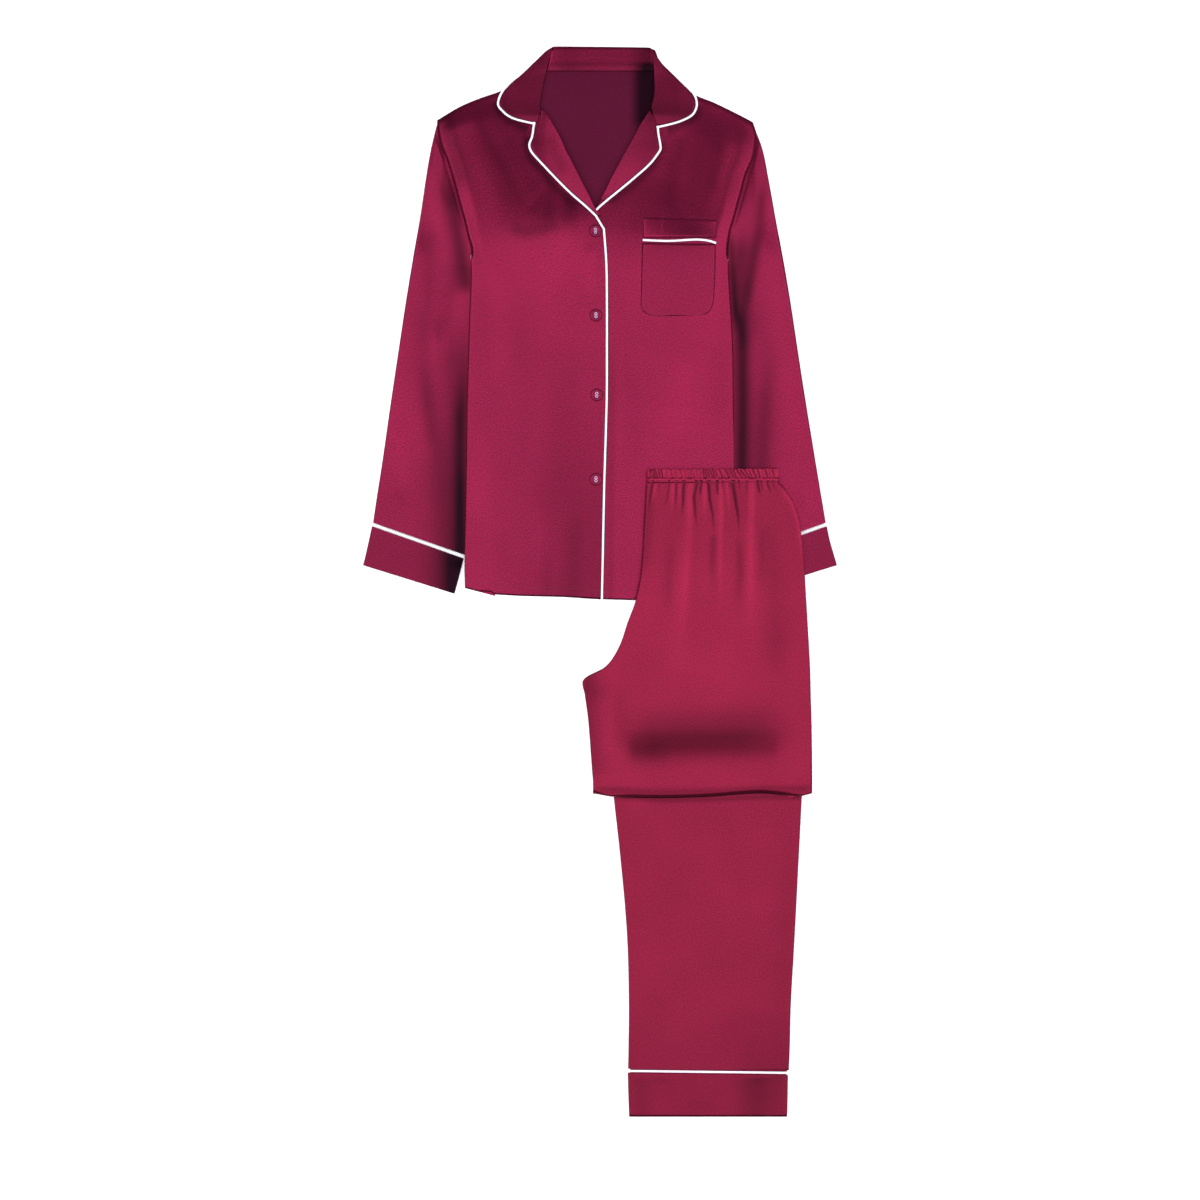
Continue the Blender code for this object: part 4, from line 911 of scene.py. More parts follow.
def plan_grid(spans: Sequence[Span], across: Array, down: Array) -> tuple[Array, Array]:
    """Plan of a panel: smooth curves through its spans' ends, then shares across.

    Args:
        spans: the panel's sections, top to bottom.
        across: shares from the left edge to the right one.
        down: shares from the first span to the last.

    Returns:
        x and y, each with a row for each share down.
    """
    ends = np.array(spans, float)
    places = lengths_to(ends[:, 0:2]) + lengths_to(ends[:, 2:4])
    places /= places[-1]
    left_x, left_y, right_x, right_y = (
        curve(np.column_stack([places, ends[:, k]]).tolist(), down)[:, None] for k in range(4)
    )
    return left_x + (right_x - left_x) * across, left_y + (right_y - left_y) * across


def span_length(spans: Sequence[Span]) -> float:
    """Length of a panel down its middle."""
    middle = [((s.left_x + s.right_x) / 2, (s.left_y + s.right_y) / 2) for s in spans]
    return sum(math.dist(a, b) for a, b in zip(middle, middle[1:]))


def span_width(spans: Sequence[Span]) -> float:
    """Greatest width of a panel."""
    return max(math.hypot(s.right_x - s.left_x, s.right_y - s.left_y) for s in spans)


def plan(
    spans: Sequence[Span], spacing: float, down_spacing: float = 0.0, close_top: bool = True,
) -> Plan:
    """Grid of a panel in plan, its points close together at its edges.

    Args:
        spans: the panel's sections, top to bottom.
        spacing: spacing across, away from the edges.
        down_spacing: spacing down, the same as across where it is 0.
        close_top: whether the top edge has close points.

    Returns:
        The grid.
    """
    across = spread(span_width(spans), spacing)
    down = spread(span_length(spans), down_spacing or spacing, close_top)
    return Plan(across, down, *plan_grid(spans, across, down))


def widened(spans: Sequence[Span], by: float) -> list[Span]:
    """Sections made longer at both ends, or shorter where the number is negative."""
    return [Span(s.left_x - by, s.left_y, s.right_x + by, s.right_y) for s in spans]


def mean_span(first: Span, second: Span) -> Span:
    """Section halfway between two others."""
    return Span(*((a + b) / 2.0 for a, b in zip(first, second)))


def raised(x: Array, y: Array, z: Array) -> Array:
    """Grid of points from their coordinates."""
    return np.stack([x, y, z], axis=2)


def from_edge(points: Array, edge: Edge) -> Array:
    """The same points of a grid with one side's row or column first."""
    turned = np.moveaxis(points, edge.axis, 0)
    return turned[::-1] if edge.is_last else turned


def drop_edges(points: Array, edges: Sequence[Edge], drop: float, width: float = 1.3) -> Array:
    """Round the cut or turned edges of a grid of points down a little.

    Args:
        points: rows, columns and x, y, z.
        edges: the edges to round.
        drop: how far each goes down.
        width: how wide the rounding is.

    Returns:
        The rounded grid.
    """
    points = points.copy()
    for edge in edges:
        turned = from_edge(points, edge)
        distance = np.hypot(*np.moveaxis(turned - turned[0], -1, 0)[:2])
        turned[..., 2] -= drop * np.clip(1.0 - distance / width, 0.0, 1.0) ** 2
    return points


def fold_back(
    points: Array, edge: Edge, radius: Array | float, tuck: Array | float,
    arc: int = FOLD_ARC, bulge: float = FOLD_BULGE,
) -> Array:
    """Wrap a grid of points round a fold at one edge and back underneath.

    Args:
        points: rows, columns and x, y, z.
        edge: which edge is folded.
        radius: radius of the fold, one for all or one for each point of the edge.
        tuck: how far the cloth comes back under itself, likewise.
        arc: steps round the fold.
        bulge: how far out the fold goes at most.

    Returns:
        The grid with the fold's rows or columns added.
    """
    turned = from_edge(points, edge)
    outward = turned[0] - turned[FACING_STEP]
    outward[:, 2] = 0.0
    outward /= np.linalg.norm(outward, axis=1)[:, None]
    size, reach = (
        np.broadcast_to(np.asarray(each, float), len(outward))[:, None] for each in (radius, tuck)
    )
    out = np.minimum(size, bulge)
    wrap = [turned[0] - outward * reach - UP * 2.0 * size] + [
        turned[0] + outward * out * np.cos(turn) - UP * size * (1 - np.sin(turn))
        for turn in np.linspace(-0.5, 0.5, arc + 1)[:-1] * np.pi
    ]
    turned = np.concatenate([np.array(wrap), turned])
    return np.moveaxis(turned[::-1] if edge.is_last else turned, 0, edge.axis)


def close_tube(top: Array, low: Array | float) -> Array:
    """Close a grid of face points into a flattened tube.

    Args:
        top: rows, columns and x, y, z of the upper face.
        low: height of the tube's underside.

    Returns:
        Rings from the upper face round its right fold, back underneath and up the left fold,
        the first column repeated at the end.
    """
    under = top[:, ::-1].copy()
    under[..., 2] = np.broadcast_to(low, top.shape[:2])[:, ::-1]
    rings = []
    for face, other, way in ((top, under, 1.0), (under, top, -1.0)):
        outward = np.where(np.arange(3) < 2, face[:, -1] - face[:, -1 - FACING_STEP], 0.0)
        outward /= np.linalg.norm(outward, axis=1)[:, None]
        half = np.abs(face[:, -1, [2]] - other[:, 0, [2]]) / 2.0
        middle = (face[:, -1] + other[:, 0]) / 2.0
        fold = [
            middle + outward * np.minimum(half, FOLD_BULGE) * np.sin(turn)
            + UP * way * half * np.cos(turn)
            for turn in np.linspace(0.0, np.pi, FOLD_ARC + 1)[1:-1]
        ]
        rings += [face, np.stack(fold, axis=1)]
    return np.concatenate([*rings, top[:, [0]]], axis=1)


def cut_of(points: Array) -> tuple[float, float, float]:
    """Flat size of the cloth on a grid of points.

    Args:
        points: rows, columns and x, y, z.

    Returns:
        Its greatest width, its greatest length and its area.
    """
    width = np.linalg.norm(np.diff(points, axis=1), axis=2).sum(axis=1).max()
    length = np.linalg.norm(np.diff(points, axis=0), axis=2).sum(axis=0).max()
    corners = np.cross(points[1:, 1:] - points[:-1, :-1], points[1:, :-1] - points[:-1, 1:])
    return width, length, 0.5 * np.linalg.norm(corners, axis=2).sum()


# --- Meshes ---

def select_only(piece: Piece) -> None:
    """Select one piece and make it the active one.

    Args:
        piece: the piece.
    """
    bpy.ops.object.select_all(action="DESELECT")
    piece.select_set(True)
    bpy.context.view_layer.objects.active = piece


def primitive(name: str, add: Callable[..., set[str]], **settings: object) -> Piece:
    """Add a primitive mesh, the only thing selected.

    Args:
        name: the piece's name.
        add: the operator that adds it.
        settings: the operator's settings.

    Returns:
        The new piece.
    """
    bpy.ops.object.select_all(action="DESELECT")
    add(**settings)
    piece = bpy.context.object
    piece.name = piece.data.name = name
    return piece


def placed(name: str, data: bpy.types.ID) -> Piece:
    """Add an object for a mesh, curve, light or camera to the scene.

    Args:
        name: the object's name.
        data: what it shows.

    Returns:
        The object.
    """
    added = bpy.data.objects.new(name, data)
    bpy.context.scene.collection.objects.link(added)
    return added


def apply_modifier(piece: Piece, kind: str, **settings: object) -> None:
    """Add a modifier to a piece and apply it.

    Args:
        piece: the piece.
        kind: the modifier's type.
        settings: its properties.
    """
    select_only(piece)
    modifier = piece.modifiers.new(kind.lower(), kind)
    for name, value in settings.items():
        setattr(modifier, name, value)
    bpy.ops.object.modifier_apply(modifier=modifier.name)


def mend(piece: Piece, merge: float = 0.0, outward: bool = False) -> None:
    """Merge a mesh's doubles and point its faces outward.

    Args:
        piece: the piece.
        merge: the distance in metres within which points merge, 0 for none.
        outward: whether its normals are recalculated.
    """
    select_only(piece)
    bpy.ops.object.mode_set(mode="EDIT")
    bpy.ops.mesh.select_all(action="SELECT")
    if merge:
        bpy.ops.mesh.remove_doubles(threshold=merge)
    if outward:
        bpy.ops.mesh.normals_make_consistent(inside=False)
    bpy.ops.object.mode_set(mode="OBJECT")


def join(name: str, pieces: Sequence[Piece]) -> Piece:
    """Join pieces into one.

    Args:
        name: the joined piece's name.
        pieces: the pieces.

    Returns:
        The joined piece.
    """
    select_only(pieces[0])
    for piece in pieces[1:]:
        piece.select_set(True)
    bpy.ops.object.join()
    joined = bpy.context.object
    joined.name = joined.data.name = name
    return joined


def settle(piece: Piece) -> None:
    """Put a piece's place into its mesh, so that its object is at the origin."""
    select_only(piece)
    bpy.ops.object.transform_apply(location=True, rotation=True, scale=True)


def cloth_shell(
    name: str, points: Array, wall: float, closed: bool, grain: tuple[float, float],
    tone: Height | None = None,
) -> Piece:
    """Thin shell of cloth from a grid of face points.

    Args:
        name: the piece's name.
        points: rows from the top, columns from the left, then x, y, z in millimetres.
        wall: the cloth's thickness.
        closed: whether the last column meets the first, as round a sleeve.
        grain: offset of the weave's coordinates, so that two panels don't share a pattern.
        tone: painted shade, how much the cloth's colour is darkened at each place, from 0 to 1.

    Returns:
        The piece, with a UV map in metres along its cloth and its painted shade as an attribute.
    """
    rows, columns = points.shape[:2]
    points = points[::-1]
    piece = primitive(
        name, bpy.ops.mesh.primitive_grid_add, x_subdivisions=columns - 1,
        y_subdivisions=rows - 1, size=1.0,
    )
    mesh = piece.data
    mesh.vertices.foreach_set("co", (points * MM).astype(np.float32).ravel())
    across = np.linalg.norm(np.diff(points, axis=1), axis=2)
    across = np.concatenate([np.zeros((rows, 1)), np.cumsum(across, axis=1)], axis=1)
    across -= across[:, [columns // 2]]
    down = np.linalg.norm(np.diff(points, axis=0), axis=2).mean(axis=1)
    down = np.concatenate([[0.0], np.cumsum(down)])[:, None] + np.zeros((1, columns))
    flat = np.stack([across + grain[0], down + grain[1]], axis=2).reshape(-1, 2) * MM
    corners = np.empty(len(mesh.loops), np.int32)
    mesh.loops.foreach_get("vertex_index", corners)
    layer = mesh.uv_layers[0]
    layer.name = "cloth"
    layer.data.foreach_set("uv", flat[corners].astype(np.float32).ravel())
    # Painted shade, kept on the mesh as an attribute that darkens the satin's colour.
    depth = np.full((rows, columns), BASE_PAINTED_SHADE)
    if tone is not None:
        depth = np.clip(tone(points[..., 0], points[..., 1]), 0.0, 1.0)
    attribute = mesh.attributes.new("tone", "FLOAT", "POINT")
    attribute.data.foreach_set("value", depth.astype(np.float32).ravel())
    mesh.update()
    if closed:
        mend(piece, merge=0.00002)
    apply_modifier(piece, "SOLIDIFY", thickness=wall * MM, offset=-1.0, use_even_offset=False)
    bpy.ops.object.shade_smooth_by_angle(angle=CLOTH_ANGLE)
    return piece


# --- Shaders ---

class Value:
    """A number in a shader: an expression on it adds its Math nodes."""

    def __init__(self, shader: "Shader", socket: bpy.types.NodeSocket) -> None:
        """Wrap a socket of a shader."""
        self.shader = shader
        self.socket = socket

    def _math(self, operation: str, first: "Value | float", second: "Value | float") -> "Value":
        """Add one Math node."""
        return self.shader.node("ShaderNodeMath", {"operation": operation}, {0: first, 1: second})

    def __add__(self, other: "Value | float") -> "Value":
        """Sum."""
        return self._math("ADD", self, other)

    def __radd__(self, other: float) -> "Value":
        """Sum, the number first."""
        return self._math("ADD", other, self)

    def __sub__(self, other: "Value | float") -> "Value":
        """Difference."""
        return self._math("SUBTRACT", self, other)

    def __rsub__(self, other: float) -> "Value":
        """Difference, the number first."""
        return self._math("SUBTRACT", other, self)

    def __mul__(self, other: "Value | float") -> "Value":
        """Product."""
        return self._math("MULTIPLY", self, other)

    def __rmul__(self, other: float) -> "Value":
        """Product, the number first."""
        return self._math("MULTIPLY", other, self)


class Shader:
    """Node tree of one material with a Principled shader."""

    def __init__(self, name: str) -> None:
        """Start a material.

        Args:
            name: the material's name.
        """
        self.material = bpy.data.materials.new(name)
        self.material.use_nodes = True
        self.tree = self.material.node_tree
        self.principled = self.tree.nodes["Principled BSDF"]

    def node(
        self, kind: str, settings: dict[str, object], inputs: dict[int | str, object],
        output: int | str = 0,
    ) -> Value:
        """Add a node.

        Args:
            kind: the node's type.
            settings: its properties, which are set first.
            inputs: values or links of its sockets.
            output: the socket to give back.

        Returns:
            The output socket, wrapped.
        """
        made = self.tree.nodes.new(kind)
        for key, value in settings.items():
            setattr(made, key, value)
        for key, value in inputs.items():
            self._feed(made.inputs[key], value)
        return Value(self, made.outputs[output])

    def _feed(self, socket: bpy.types.NodeSocket, value: object) -> None:
        """Link a wrapped socket to this one, or set its number or colour.

        Args:
            socket: the input socket.
            value: a wrapped socket, a number, a colour or a vector.
        """
        if isinstance(value, Value):
            self.tree.links.new(value.socket, socket)
        elif isinstance(value, tuple) and socket.type == "RGBA":
            socket.default_value = (*value, 1.0)
        else:
            socket.default_value = value

    def set(self, **values: object) -> None:
        """Set or link sockets of the Principled shader, named with _ for a space."""
        for name, value in values.items():
            self._feed(self.principled.inputs[name.replace("_", " ")], value)

    def clamp(self, value: Value) -> Value:
        """Value held between 0 and 1."""
        return self.node("ShaderNodeClamp", {}, {"Value": value})

    def object_place(self) -> Value:
        """Place in the piece's own object coordinates, in metres."""
        return self.node("ShaderNodeTexCoord", {}, {}, "Object")

    def cloth_place(self, across: float, along: float) -> Value:
        """Place on the cloth from its UV map, scaled across and along the warp."""
        uv = self.node("ShaderNodeUVMap", {"uv_map": "cloth"}, {})
        return self.node("ShaderNodeMapping", {}, {"Vector": uv, "Scale": (across, along, 1.0)})

    def noise(self, place: Value, scale: float, detail: float = 2.0) -> Value:
        """Noise from 0 to 1 at a scale."""
        inputs = {"Vector": place, "Scale": scale, "Detail": detail}
        return self.node("ShaderNodeTexNoise", {}, inputs, "Fac")

    def mix(self, share: Value | float, first: object, second: object) -> Value:
        """Mix two colours."""
        inputs = {0: share, 6: first, 7: second}
        return self.node("ShaderNodeMix", {"data_type": "RGBA"}, inputs, 2)

    def bump(self, height: Value, distance: float) -> Value:
        """Bump from a height, its distance in metres."""
        return self.node("ShaderNodeBump", {}, {"Height": height, "Distance": distance}, "Normal")


@dataclass(frozen=True)
class SatinFinish:
    """Satin: long warp floats with a soft, coloured sheen."""

    name: str = "satin"
    color: Color = (0.196, 0.0089, 0.0382)
    deep: Color = (0.118, 0.0046, 0.0226)
    # Near-black colour that the painted shade mixes towards.
    shade_color: Color = (0.006, 0.0, 0.0024)
    roughness: float = 0.25
    metallic: float = 0.95
    sheen: float = 0.02
    sheen_roughness: float = 0.4
    speckle: float = 5.5
    floats: tuple[float, float] = (2600.0, 420.0)
    yarns: tuple[float, float] = (760.0, 620.0)
    clouds: float = 16.0
    relief: float = 0.00003

    def build(self) -> Material:
        """Make the material.

        Returns:
            The material, whose colour is darkened by the painted shade kept on each piece.
        """
        shader = Shader(self.name)
        warp = shader.noise(shader.cloth_place(*self.floats), 1.0, 1.0)
        grain = shader.noise(shader.cloth_place(*self.yarns), 1.0)
        cloud = shader.noise(shader.object_place(), self.clouds, 3.0)
        lift = (warp - 0.5) * 0.7 + (grain - 0.5) * self.speckle + (cloud - 0.5) * 0.6 + 0.5
        color = shader.mix(shader.clamp(lift), self.deep, self.color)
        # Painted shade: the piece's attribute mixes the colour towards the near-black shade colour.
        depth = shader.node("ShaderNodeAttribute", {"attribute_name": "tone"}, {}, "Fac")
        shader.set(
            Base_Color=shader.mix(depth, color, self.shade_color),
            Roughness=self.roughness + (grain - 0.5) * 0.10,
            Metallic=self.metallic,
            Sheen_Weight=self.sheen,
            Sheen_Roughness=self.sheen_roughness,
            Normal=shader.bump(warp * 0.6 + grain * 0.4, self.relief),
        )
        return shader.material


@dataclass(frozen=True)
class GrainFinish:
    """Two colours in a fine grain, as on a corded tape, in dyed resin or on a twisted thread."""

    name: str
    dark: Color
    light: Color
    scale: float
    detail: float = 2.0
    roughness: float = 0.5
    rougher: float = 0.0
    metallic: float = 0.0
    sheen: float = 0.0
    relief: float = 0.0

    def build(self) -> Material:
        """Make the material.

        Returns:
            The material, rougher and higher where its grain is lighter.
        """
        shader = Shader(self.name)
        grain = shader.noise(shader.object_place(), self.scale, self.detail)
        shader.set(
            Base_Color=shader.mix(grain, self.dark, self.light), Roughness=self.roughness,
            Metallic=self.metallic, Sheen_Weight=self.sheen,
        )
        if self.rougher:
            shader.set(Roughness=self.roughness + grain * self.rougher)
        if self.relief:
            shader.set(Normal=shader.bump(grain, self.relief))
        return shader.material


class Finishes:
    """The finishes that the pieces share."""

    def __init__(self) -> None:
        """Make each material once."""
        self.satin = SatinFinish().build()
        # The back's inside: rougher, as a satin's wrong side is duller, and darker as painted shade
        # in the neck opening.
        self.satin_inside_shaded = SatinFinish(
            "satin_inside_shaded", (0.080, 0.0047, 0.0220), (0.060, 0.0034, 0.0165), roughness=0.45,
        ).build()
        self.warm_satin = SatinFinish(
            "warm_satin", (0.196, 0.0089, 0.0315), (0.118, 0.0046, 0.0184), speckle=3.5,
        ).build()
        self.piping = GrainFinish(
            "piping", (0.86, 0.84, 0.91), (0.96, 0.95, 0.98), 1500.0, sheen=0.2, relief=0.00004,
        ).build()
        self.resin = GrainFinish(
            "button_resin", (0.135, 0.0055, 0.026), (0.19, 0.0085, 0.038), 320.0, 3.0, 0.24,
            rougher=0.1, metallic=0.9,
        ).build()
        # The dark thread serves both the buttonhole and the dark cord painted as a shadow beside
        # the front's piping.
        self.wine_thread, self.dark_thread, self.lilac_thread = (
            GrainFinish(
                name, tuple(0.7 * channel for channel in color), color, 4000.0, 1.0, 0.55,
                relief=0.00003,
            ).build() for name, color in (
                ("wine_thread", (0.085, 0.008, 0.034)), ("dark_thread", (0.016, 0.001, 0.010)),
                ("lilac_thread", (0.62, 0.56, 0.78)),
            )
        )


def dress(piece: Piece, material: Material, slot: Slot, *nodes: str) -> Piece:
    """Give a piece its material and body, and hide the frame's nodes that it replaces.

    Args:
        piece: the piece.
        material: its material.
        slot: not used.
        nodes: the frame's nodes that it replaces.

    Returns:
        The same piece.
    """
    piece.data.materials.clear()
    piece.data.materials.append(material)
    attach(piece, BODY_NAME)
    if nodes:
        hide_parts(*nodes)
    log.info("%s: %d faces", piece.name, len(piece.data.polygons))
    return piece


def state_cut(
    grids: Sequence[Array],
) -> None:
    """Work out the flat cut of a sheet, or of like layers of cloth side by side; nothing is kept.

    Args:
        grids: the points of each layer.
    """
    cuts = [cut_of(grid) for grid in grids]
    width, length = cuts[0][0] * len(cuts), cuts[0][1]
    area = sum(cut[2] for cut in cuts)
    round(width * MM, 3)
    round(length * MM, 3)
    round(area * MM * MM, 5)


def cloth_sheet(
    name: str, points: Array, finish: Material, node: str, tone: Height,
    wall: float = 0.4,
    closed: bool = False, grain: tuple[float, float] = (0.0, 0.0),
) -> Piece:
    """Build one sheet of cloth, dress it and work out its cut.

    Args:
        name: the piece's name.
        points: the cloth's outer face, as for cloth_shell.
        finish: its material.
        node: the frame's node that it stands for.
        tone: painted shade, how much deeper its colour is at each place.
        wall: its thickness.
        closed: whether it is a tube.
        grain: offset of its weave.

    Returns:
        The piece.
    """
    piece = cloth_shell(name, points, wall, closed, grain, tone)
    dress(piece, finish, Slot.SATIN, node)
    state_cut([points])
    return piece


def cord_trim(name: str, line: Array, radius: float, finish: Material, *nodes: str) -> None:
    """Corded piping along a line.

    Args:
        name: the piece's name.
        line: its points, in millimetres.
        radius: the cord's radius.
        finish: its material.
        nodes: the frame's nodes that it stands for.
    """
    cord = bpy.data.curves.new(name, "CURVE")
    cord.dimensions = "3D"
    cord.bevel_depth = radius * MM
    cord.bevel_resolution = 3
    cord.use_fill_caps = True
    spline = cord.splines.new("POLY")
    spline.points.add(len(line) - 1)
    for target, point in zip(spline.points, line):
        target.co = (*(Vector(point) * MM), 1.0)
    select_only(placed(name, cord))
    bpy.ops.object.convert(target="MESH")
    piece = bpy.context.object
    mend(piece, merge=0.00001, outward=True)
    bpy.ops.object.shade_smooth_by_angle(angle=CLOTH_ANGLE)
    dress(piece, finish, Slot.PIPING, *nodes)


def smooth_line(points: Sequence[Sequence[float]], spacing: float) -> Array:
    """Evenly spaced plan points on a smooth curve through the given ones.

    Args:
        points: the points that it goes through.
        spacing: the distance between its own points.

    Returns:
        Its points, x and y.
    """
    ends = np.array(points, float)[:, :2]
    places = lengths_to(ends)
    at = np.linspace(0.0, places[-1], max(3, round(places[-1] / spacing) + 1))
    columns = [curve(np.column_stack([places, ends[:, k]]).tolist(), at) for k in (0, 1)]
    return np.stack(columns, axis=1)


def offset_line(line: Array, distance: float) -> Array:
    """Plan points moved by a distance to the left of their direction."""
    run = np.gradient(line, axis=0)
    return line + distance * np.stack([-run[:, 1], run[:, 0]], axis=1) / np.hypot(*run.T)[:, None]


def on_height(line: Array, height: Height, lift: float) -> Array:
    """Plan points put on a height."""
    return np.column_stack([line, height(line[:, 0], line[:, 1]) + lift])


def seam_line(span: Span, count: int, height: Height, lift: float) -> Array:
    """Evenly spaced points of a straight seam, a lift over a height."""
    line = np.linspace(span[:2], span[2:], count)
    return on_height(line, height, lift)


@dataclass
class Stitcher:
    """Rows of sewing stitches, all of one piece of thread in one mesh."""

    pitch: float = 3.0
    length: float = 2.2
    radius: float = 0.26
    first: float = 0.4
    places: list[Array] = field(default_factory=list)

    def sew(self, line: Array, height: Height, lift: float) -> None:
        """Add a row of stitches.

        Args:
            line: the row's plan points.
            height: the face that it is sewn on.
            lift: how far over the face the thread's middle is.
        """
        run = lengths_to(line)
        for start in np.arange(self.first, run[-1] - self.length, self.pitch):
            ends = (start, start + self.length)
            pair = np.column_stack([np.interp(ends, run, line[:, k]) for k in (0, 1)])
            self.places.append(on_height(pair, height, lift))

    def build(self, name: str, finish: Material) -> None:
        """Make one mesh of all the stitches.

        Args:
            name: the piece's name.
            finish: the thread's material.
        """
        ball = bpy.ops.mesh.primitive_uv_sphere_add
        model = primitive("stitch", ball, segments=6, ring_count=4, radius=1.0)
        corners = np.array([vertex.co[:] for vertex in model.data.vertices])
        faces = [tuple(polygon.vertices) for polygon in model.data.polygons]
        bpy.data.objects.remove(model, do_unlink=True)
        points, polygons = [], []
        for start, end in self.places:
            run = end - start
            half = np.linalg.norm(run) / 2.0
            along = run / (2.0 * half)
            across = np.cross(along, UP)
            across /= np.linalg.norm(across)
            base = len(points) * len(corners)
            points.append(
                corners[:, [2]] * half * along + corners[:, [0]] * self.radius * across
                + corners[:, [1]] * self.radius * np.cross(across, along) + (start + end) / 2.0
            )
            polygons.extend(tuple(base + k for k in face) for face in faces)
        mesh = bpy.data.meshes.new(name)
        mesh.from_pydata((np.concatenate(points) * MM).tolist(), [], polygons)
        piece = placed(name, mesh)
        mend(piece, outward=True)
        bpy.ops.object.shade_smooth()
        dress(piece, finish, Slot.SATIN)


# --- Shirt ---

class Flap(NamedTuple):
    """A lapel or collar leaf: its names, its sections and how it is turned."""

    name: str
    node: str
    spans: tuple[Span, ...]
    on_over: bool
    radius: float
    puff: float
    grain: tuple[float, float]


FLAPS = (
    Flap("lapel_over_cloth", "lapel_over", LAPEL_OVER, True, 0.8, 2.8, (300.0, 300.0)),
    Flap("lapel_under_cloth", "lapel_under", LAPEL_UNDER, False, 0.8, 2.8, (420.0, 100.0)),
    Flap("collar_left_cloth", "collar_leaf_left", COLLAR_LEFT, True, 1.1, 1.6, (150.0, 250.0)),
    Flap("collar_right_cloth", "collar_leaf_right", COLLAR_RIGHT, False, 1.1, 1.6, (260.0, 410.0)),
)


@dataclass
class Shirt:
    """The shirt: back, fronts, collar and lapels, pocket, sleeves, piping and buttons."""

    finishes: Finishes
    lay: ShirtLay = field(default_factory=ShirtLay)
    stitches: Stitcher = field(default_factory=Stitcher)
    spacing: float = 2.7
    back_spacing: float = 5.0
    flap_spacing: tuple[float, float] = (2.0, 2.2)
    pocket_spacing: float = 2.0
    seam_groove: float = 0.8
    seam_width: float = 2.2
    shoulder_groove: float = 0.7
    hem_width: float = 11.0
    hem_groove: float = 0.28
    side_tuck: float = 38.0
    seam_tuck: float = 6.0
    seam_radius: float = 0.45
    back_inset: float = 3.4
    back_wall: float = 0.5
    seam_reach: float = 27.0
    flap_tuck: float = 7.0
    stand_lean: float = 3.5
    pocket_lift: float = 1.5
    piping_radius: float = 1.35
    # Radius of the dark cord laid beside the front's piping as its painted shadow.
    shadow_cord_radius: float = 0.6
    button_radius: float = 7.7
    button_height: float = 2.6
    # Rings of a button's face from its rim inwards: width and rise.
    button_rings: Rows = ((1.4, 0.9), (1.3, 0.0), (0.9, -0.9), (1.6, -0.1))
    button_bevel: float = 0.25
    hole_radius: float = 0.95
    hole_offset: float = 1.9
    drill_depth: float = 8.0
    loop_radius: float = 1.45
    thread_radius: float = 0.38
    thread_drop: float = 0.8
    button_lift: float = 0.7

    def groove(self, x: Array, y: Array) -> Array:
        """Dip of the cloth on both sides of an armhole seam, as a negative height."""
        return -self.seam_groove * bell(inward(BODY, x, y), self.seam_width) * ramp(*SEAM_END, y)

    def _bent(self, grid: tuple[Array, Array], row: int, line: Array, share: Array) -> Array:
        """Move a grid's rows so that one of them follows a line of the outline.

        Args:
            grid: x and y of the grid.
            row: the row that follows the line.
            line: y of the line at each x of the grid.
            share: how far each point goes with it.

        Returns:
            The new y of the grid.
        """
        x, y = grid
        order = np.argsort(x[row])
        return y + (line - np.interp(x, x[row][order], y[row][order])) * share

    def front(self, spans: Sequence[Span], outer: Edge, height: Height) -> Array:
        """Face points of one front, with its side fold and its open edge.

        Args:
            spans: the front's sections.
            outer: the side that is folded under.
            height: the front's face.

        Returns:
            The grid of points.
        """
        _, _, x, y = plan(spans, self.spacing)
        side_y = y[:, [-1]] if outer.is_last else y[:, [0]]
        y = self._bent((x, y), 0, curve(SHOULDER, x), ramp(*SHOULDER_BLEND, side_y))
        y = self._bent((x, y), -1, hem_y(x), ramp(*HEM_BLEND, side_y))
        z = height(x, y) + self.groove(x, y)
        z = z - self.shoulder_groove * bell(curve(SHOULDER, x) - y, 3.0)
        z = z - self.hem_groove * bell(y - hem_y(x) - self.hem_width, 1.6)
        points = drop_edges(raised(x, y, z), (Edge.BOTTOM,), 0.9, 2.5)
        edge = from_edge(points, outer)[0]
        side = ramp(409.0, 396.0, edge[:, 1])
        under = self.lay.side(edge[:, 0], edge[:, 1]) + self.back_wall
        radius = np.maximum((edge[:, 2] - under) / 2.0, self.seam_radius)
        radius = self.seam_radius + (radius - self.seam_radius) * side
        tuck = self.seam_tuck + (self.side_tuck - self.seam_tuck) * side
        points = fold_back(points, outer, radius, tuck)
        return fold_back(points, outer.across, 0.4, 14.0)

    def back(self) -> None:
        """The back, flat on the floor, its sides inside the fronts' folds."""
        across, _, x, y = plan(widened(BODY, -self.back_inset), self.back_spacing)
        left_y = y[:, [0]]
        chord = left_y[0] + (y[0, -1] - y[0, 0]) * across
        y = y + (curve(SHOULDER, x) - chord) * ramp(*SHOULDER_BLEND, left_y)
        y = y + (hem_y(x) + 3.0 - y[-1]) * ramp(*HEM_BLEND, left_y)
        y = y + 7.0 * ramp(73.0, 68.0, np.abs(x)) * ramp(560.0, 571.0, left_y)
        lifted = 0.9 * ramp(60.0, 20.0, inward(BODY, x, y)) * ramp(*OVER_SLEEVES, y)
        z = self.lay.side(x, y) + self.back_wall + lifted
        cloth_sheet(
            "shirt_back_cloth", drop_edges(raised(x, y, z), (Edge.BOTTOM,), 0.1),
            self.finishes.satin_inside_shaded, "shirt_back", self.lay.neck_painted_shade,
            grain=(0.0, 900.0),
        )

